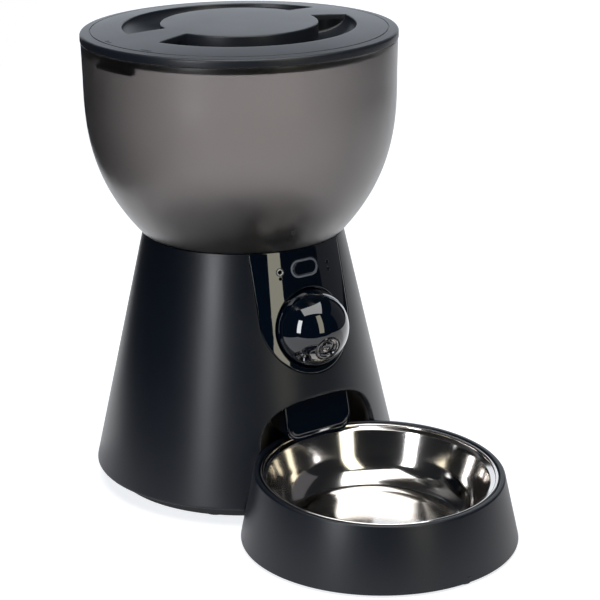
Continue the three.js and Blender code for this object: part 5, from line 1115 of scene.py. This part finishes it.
finishes = {finish.slot: finish.material for finish in (
    satin_black, gloss_black, lid_black, smoked, rubber, inner_black, steel, zinc, board_green, white_plastic,
    light_grey, cell_wrap, lens_glass)}
for part in frame["record"]["subparts"]:
    solid = frame["nodes"][part["node"]]
    for place in solid.material_slots:
        place.material = finishes[part["material_slot"]]
    if not solid.material_slots:
        solid.data.materials.append(finishes[part["material_slot"]])

base_shell()
front_panel()
key_and_ring()
small_front_pieces()
socket()
front_bores = [(LENS_YAW, LENS_PITCH, LENS_RADIUS + GAP), (LAMP_YAW, LAMP_PITCH, LAMP_RADIUS + GAP)]
ball_half("ball_face", -1, -BALL_SPLIT, SLOT_FRONT, front_bores, "ball_front")
ball_half("ball_back", 1, BALL_SPLIT + GAP, 180 - SLOT_REAR, [], "ball_rear")
lens_and_lamp()
tank()
lid()
lid_marks()
seals()
recess()
hood()
steel_bowl()
bowl_holder()
bottom_plate()
feet_and_screws()
rear_inlet()
for node, body, finish in (
        ("battery_door", "battery_door", inner_black), ("battery_case", "base", inner_black),
        ("main_board", "base", board_green), ("key_board", "base", board_green),
        ("portion_wheel", "wheel", matt_black), ("stirrer", "wheel", matt_black),
        ("dispenser_housing", "base", matt_black), ("metering_cover", "base", inner_black),
        ("desiccant_cover", "desiccant_cover", inner_black), ("pan_yoke", "pan", inner_black)):
    softened(node + "_soft", node, body, finish, SOFT_EDGE)


# ---------------------------------------------------------------- stage, lights and camera
def floor():
    """A white sweep along the view, turned 35 degrees. It begins 0.5 m before the feeder, and the studio to its left
    and right is dark. Its part in front is less bright in reflections than the part behind."""
    mesh = bpy.data.meshes.new("floor")
    near, middle, far, left, right = 0.5, 0.1, 12.0, 0.36, 1.0
    sheet = np.array([[side, y, 0] for y in (-near, middle, far) for side in (-left, right)])
    mesh.from_pydata(put(sheet, turned("z", -35)).tolist(), [], [(0, 1, 3, 2), (2, 3, 5, 4)])
    front = Finish("white floor in front", base_color=(0.5, 0.5, 0.5, 1), roughness=0.8, emission_strength=0.8)
    straight = front.node("ShaderNodeLightPath").outputs["Is Camera Ray"]
    front.set("Emission Color", front.blend(straight, (0.5, 0.5, 0.54, 1), (0.95, 0.97, 1, 1)))
    behind = Finish("white sweep behind", base_color=(0.5, 0.5, 0.5, 1), roughness=0.8,
                    emission_color=(0.95, 0.97, 1, 1), emission_strength=0.8)
    mesh.materials.append(front.material)
    mesh.materials.append(behind.material)
    mesh.polygons[1].material_index = 1
    added("floor", mesh)


def softbox(name, turn, height, distance, width, tall, radiance, colour=(1, 1, 1)):
    """A flat rectangular light at an angle from the front, its middle at a height, that faces the object.
    Its power is pi times its area times its radiance."""
    data = bpy.data.lights.new(name, "AREA")
    data.shape, data.size, data.size_y, data.color = "RECTANGLE", width, tall, colour
    data.energy = math.pi * width * tall * radiance
    light = added(name, data)
    x, y = ring_point(distance, turn)
    light.location = x, y + TOWER_Y / 2, height
    light.rotation_euler = (Vector((0, TOWER_Y / 2, 0.15)) - light.location).to_track_quat("-Z", "Y").to_euler()
    light.visible_camera = False


def studio():
    """A tall white softbox on the left, a narrow warm one in front, a dim wall on the right, a bright backdrop and a
    square one over the feeder. What lies between them is dark, but a straight look past the floor finds it white."""
    softbox("left", -68, 0.5, 1.2, 0.26, 0.8, 9.2, (0.95, 0.97, 1))
    softbox("front", -2, 0.7, 1.3, 0.36, 1.3, 2.6, (1, 0.96, 0.76))
    softbox("right", 76, 0.6, 1.6, 1.5, 1.3, 0.1, (0.95, 0.93, 1))
    softbox("backdrop", 144, 0.66, 2.2, 2.6, 1.4, 1.2, (0.86, 0.92, 1))
    softbox("overhead", -20, 1.4, 0.16, 1.3, 1.3, 3.2)
    world = bpy.data.worlds.new("studio")
    world.use_nodes = True
    tree = world.node_tree
    past = tree.nodes.new("ShaderNodeLightPath")
    shade = tree.nodes.new("ShaderNodeMix")
    shade.data_type = "RGBA"
    shade.inputs[6].default_value, shade.inputs[7].default_value = (0.015, 0.0165, 0.019, 1), (1, 1, 1, 1)
    tree.links.new(past.outputs["Is Camera Ray"], shade.inputs["Factor"])
    tree.links.new(shade.outputs[2], tree.nodes["Background"].inputs["Color"])
    bpy.context.scene.world = world
    bpy.context.scene.view_settings.view_transform = "Standard"


def camera():
    """A long lens that looks 18 degrees down from 36 degrees left of the front, level but for half a degree."""
    data = bpy.data.cameras.new("photograph")
    data.sensor_width, data.lens = 36, 122.67
    view = added("photograph", data)
    right, up, back = (0.80747, -0.58982, -0.00989), (0.19184, 0.24670, 0.94991), (-0.55784, -0.76893, 0.31236)
    view.matrix_world = Matrix([*zip(right, up, back, (-0.71727, -0.98605, 0.53437)), (0, 0, 0, 1)])
    bpy.context.scene.camera = view


floor()
studio()
camera()
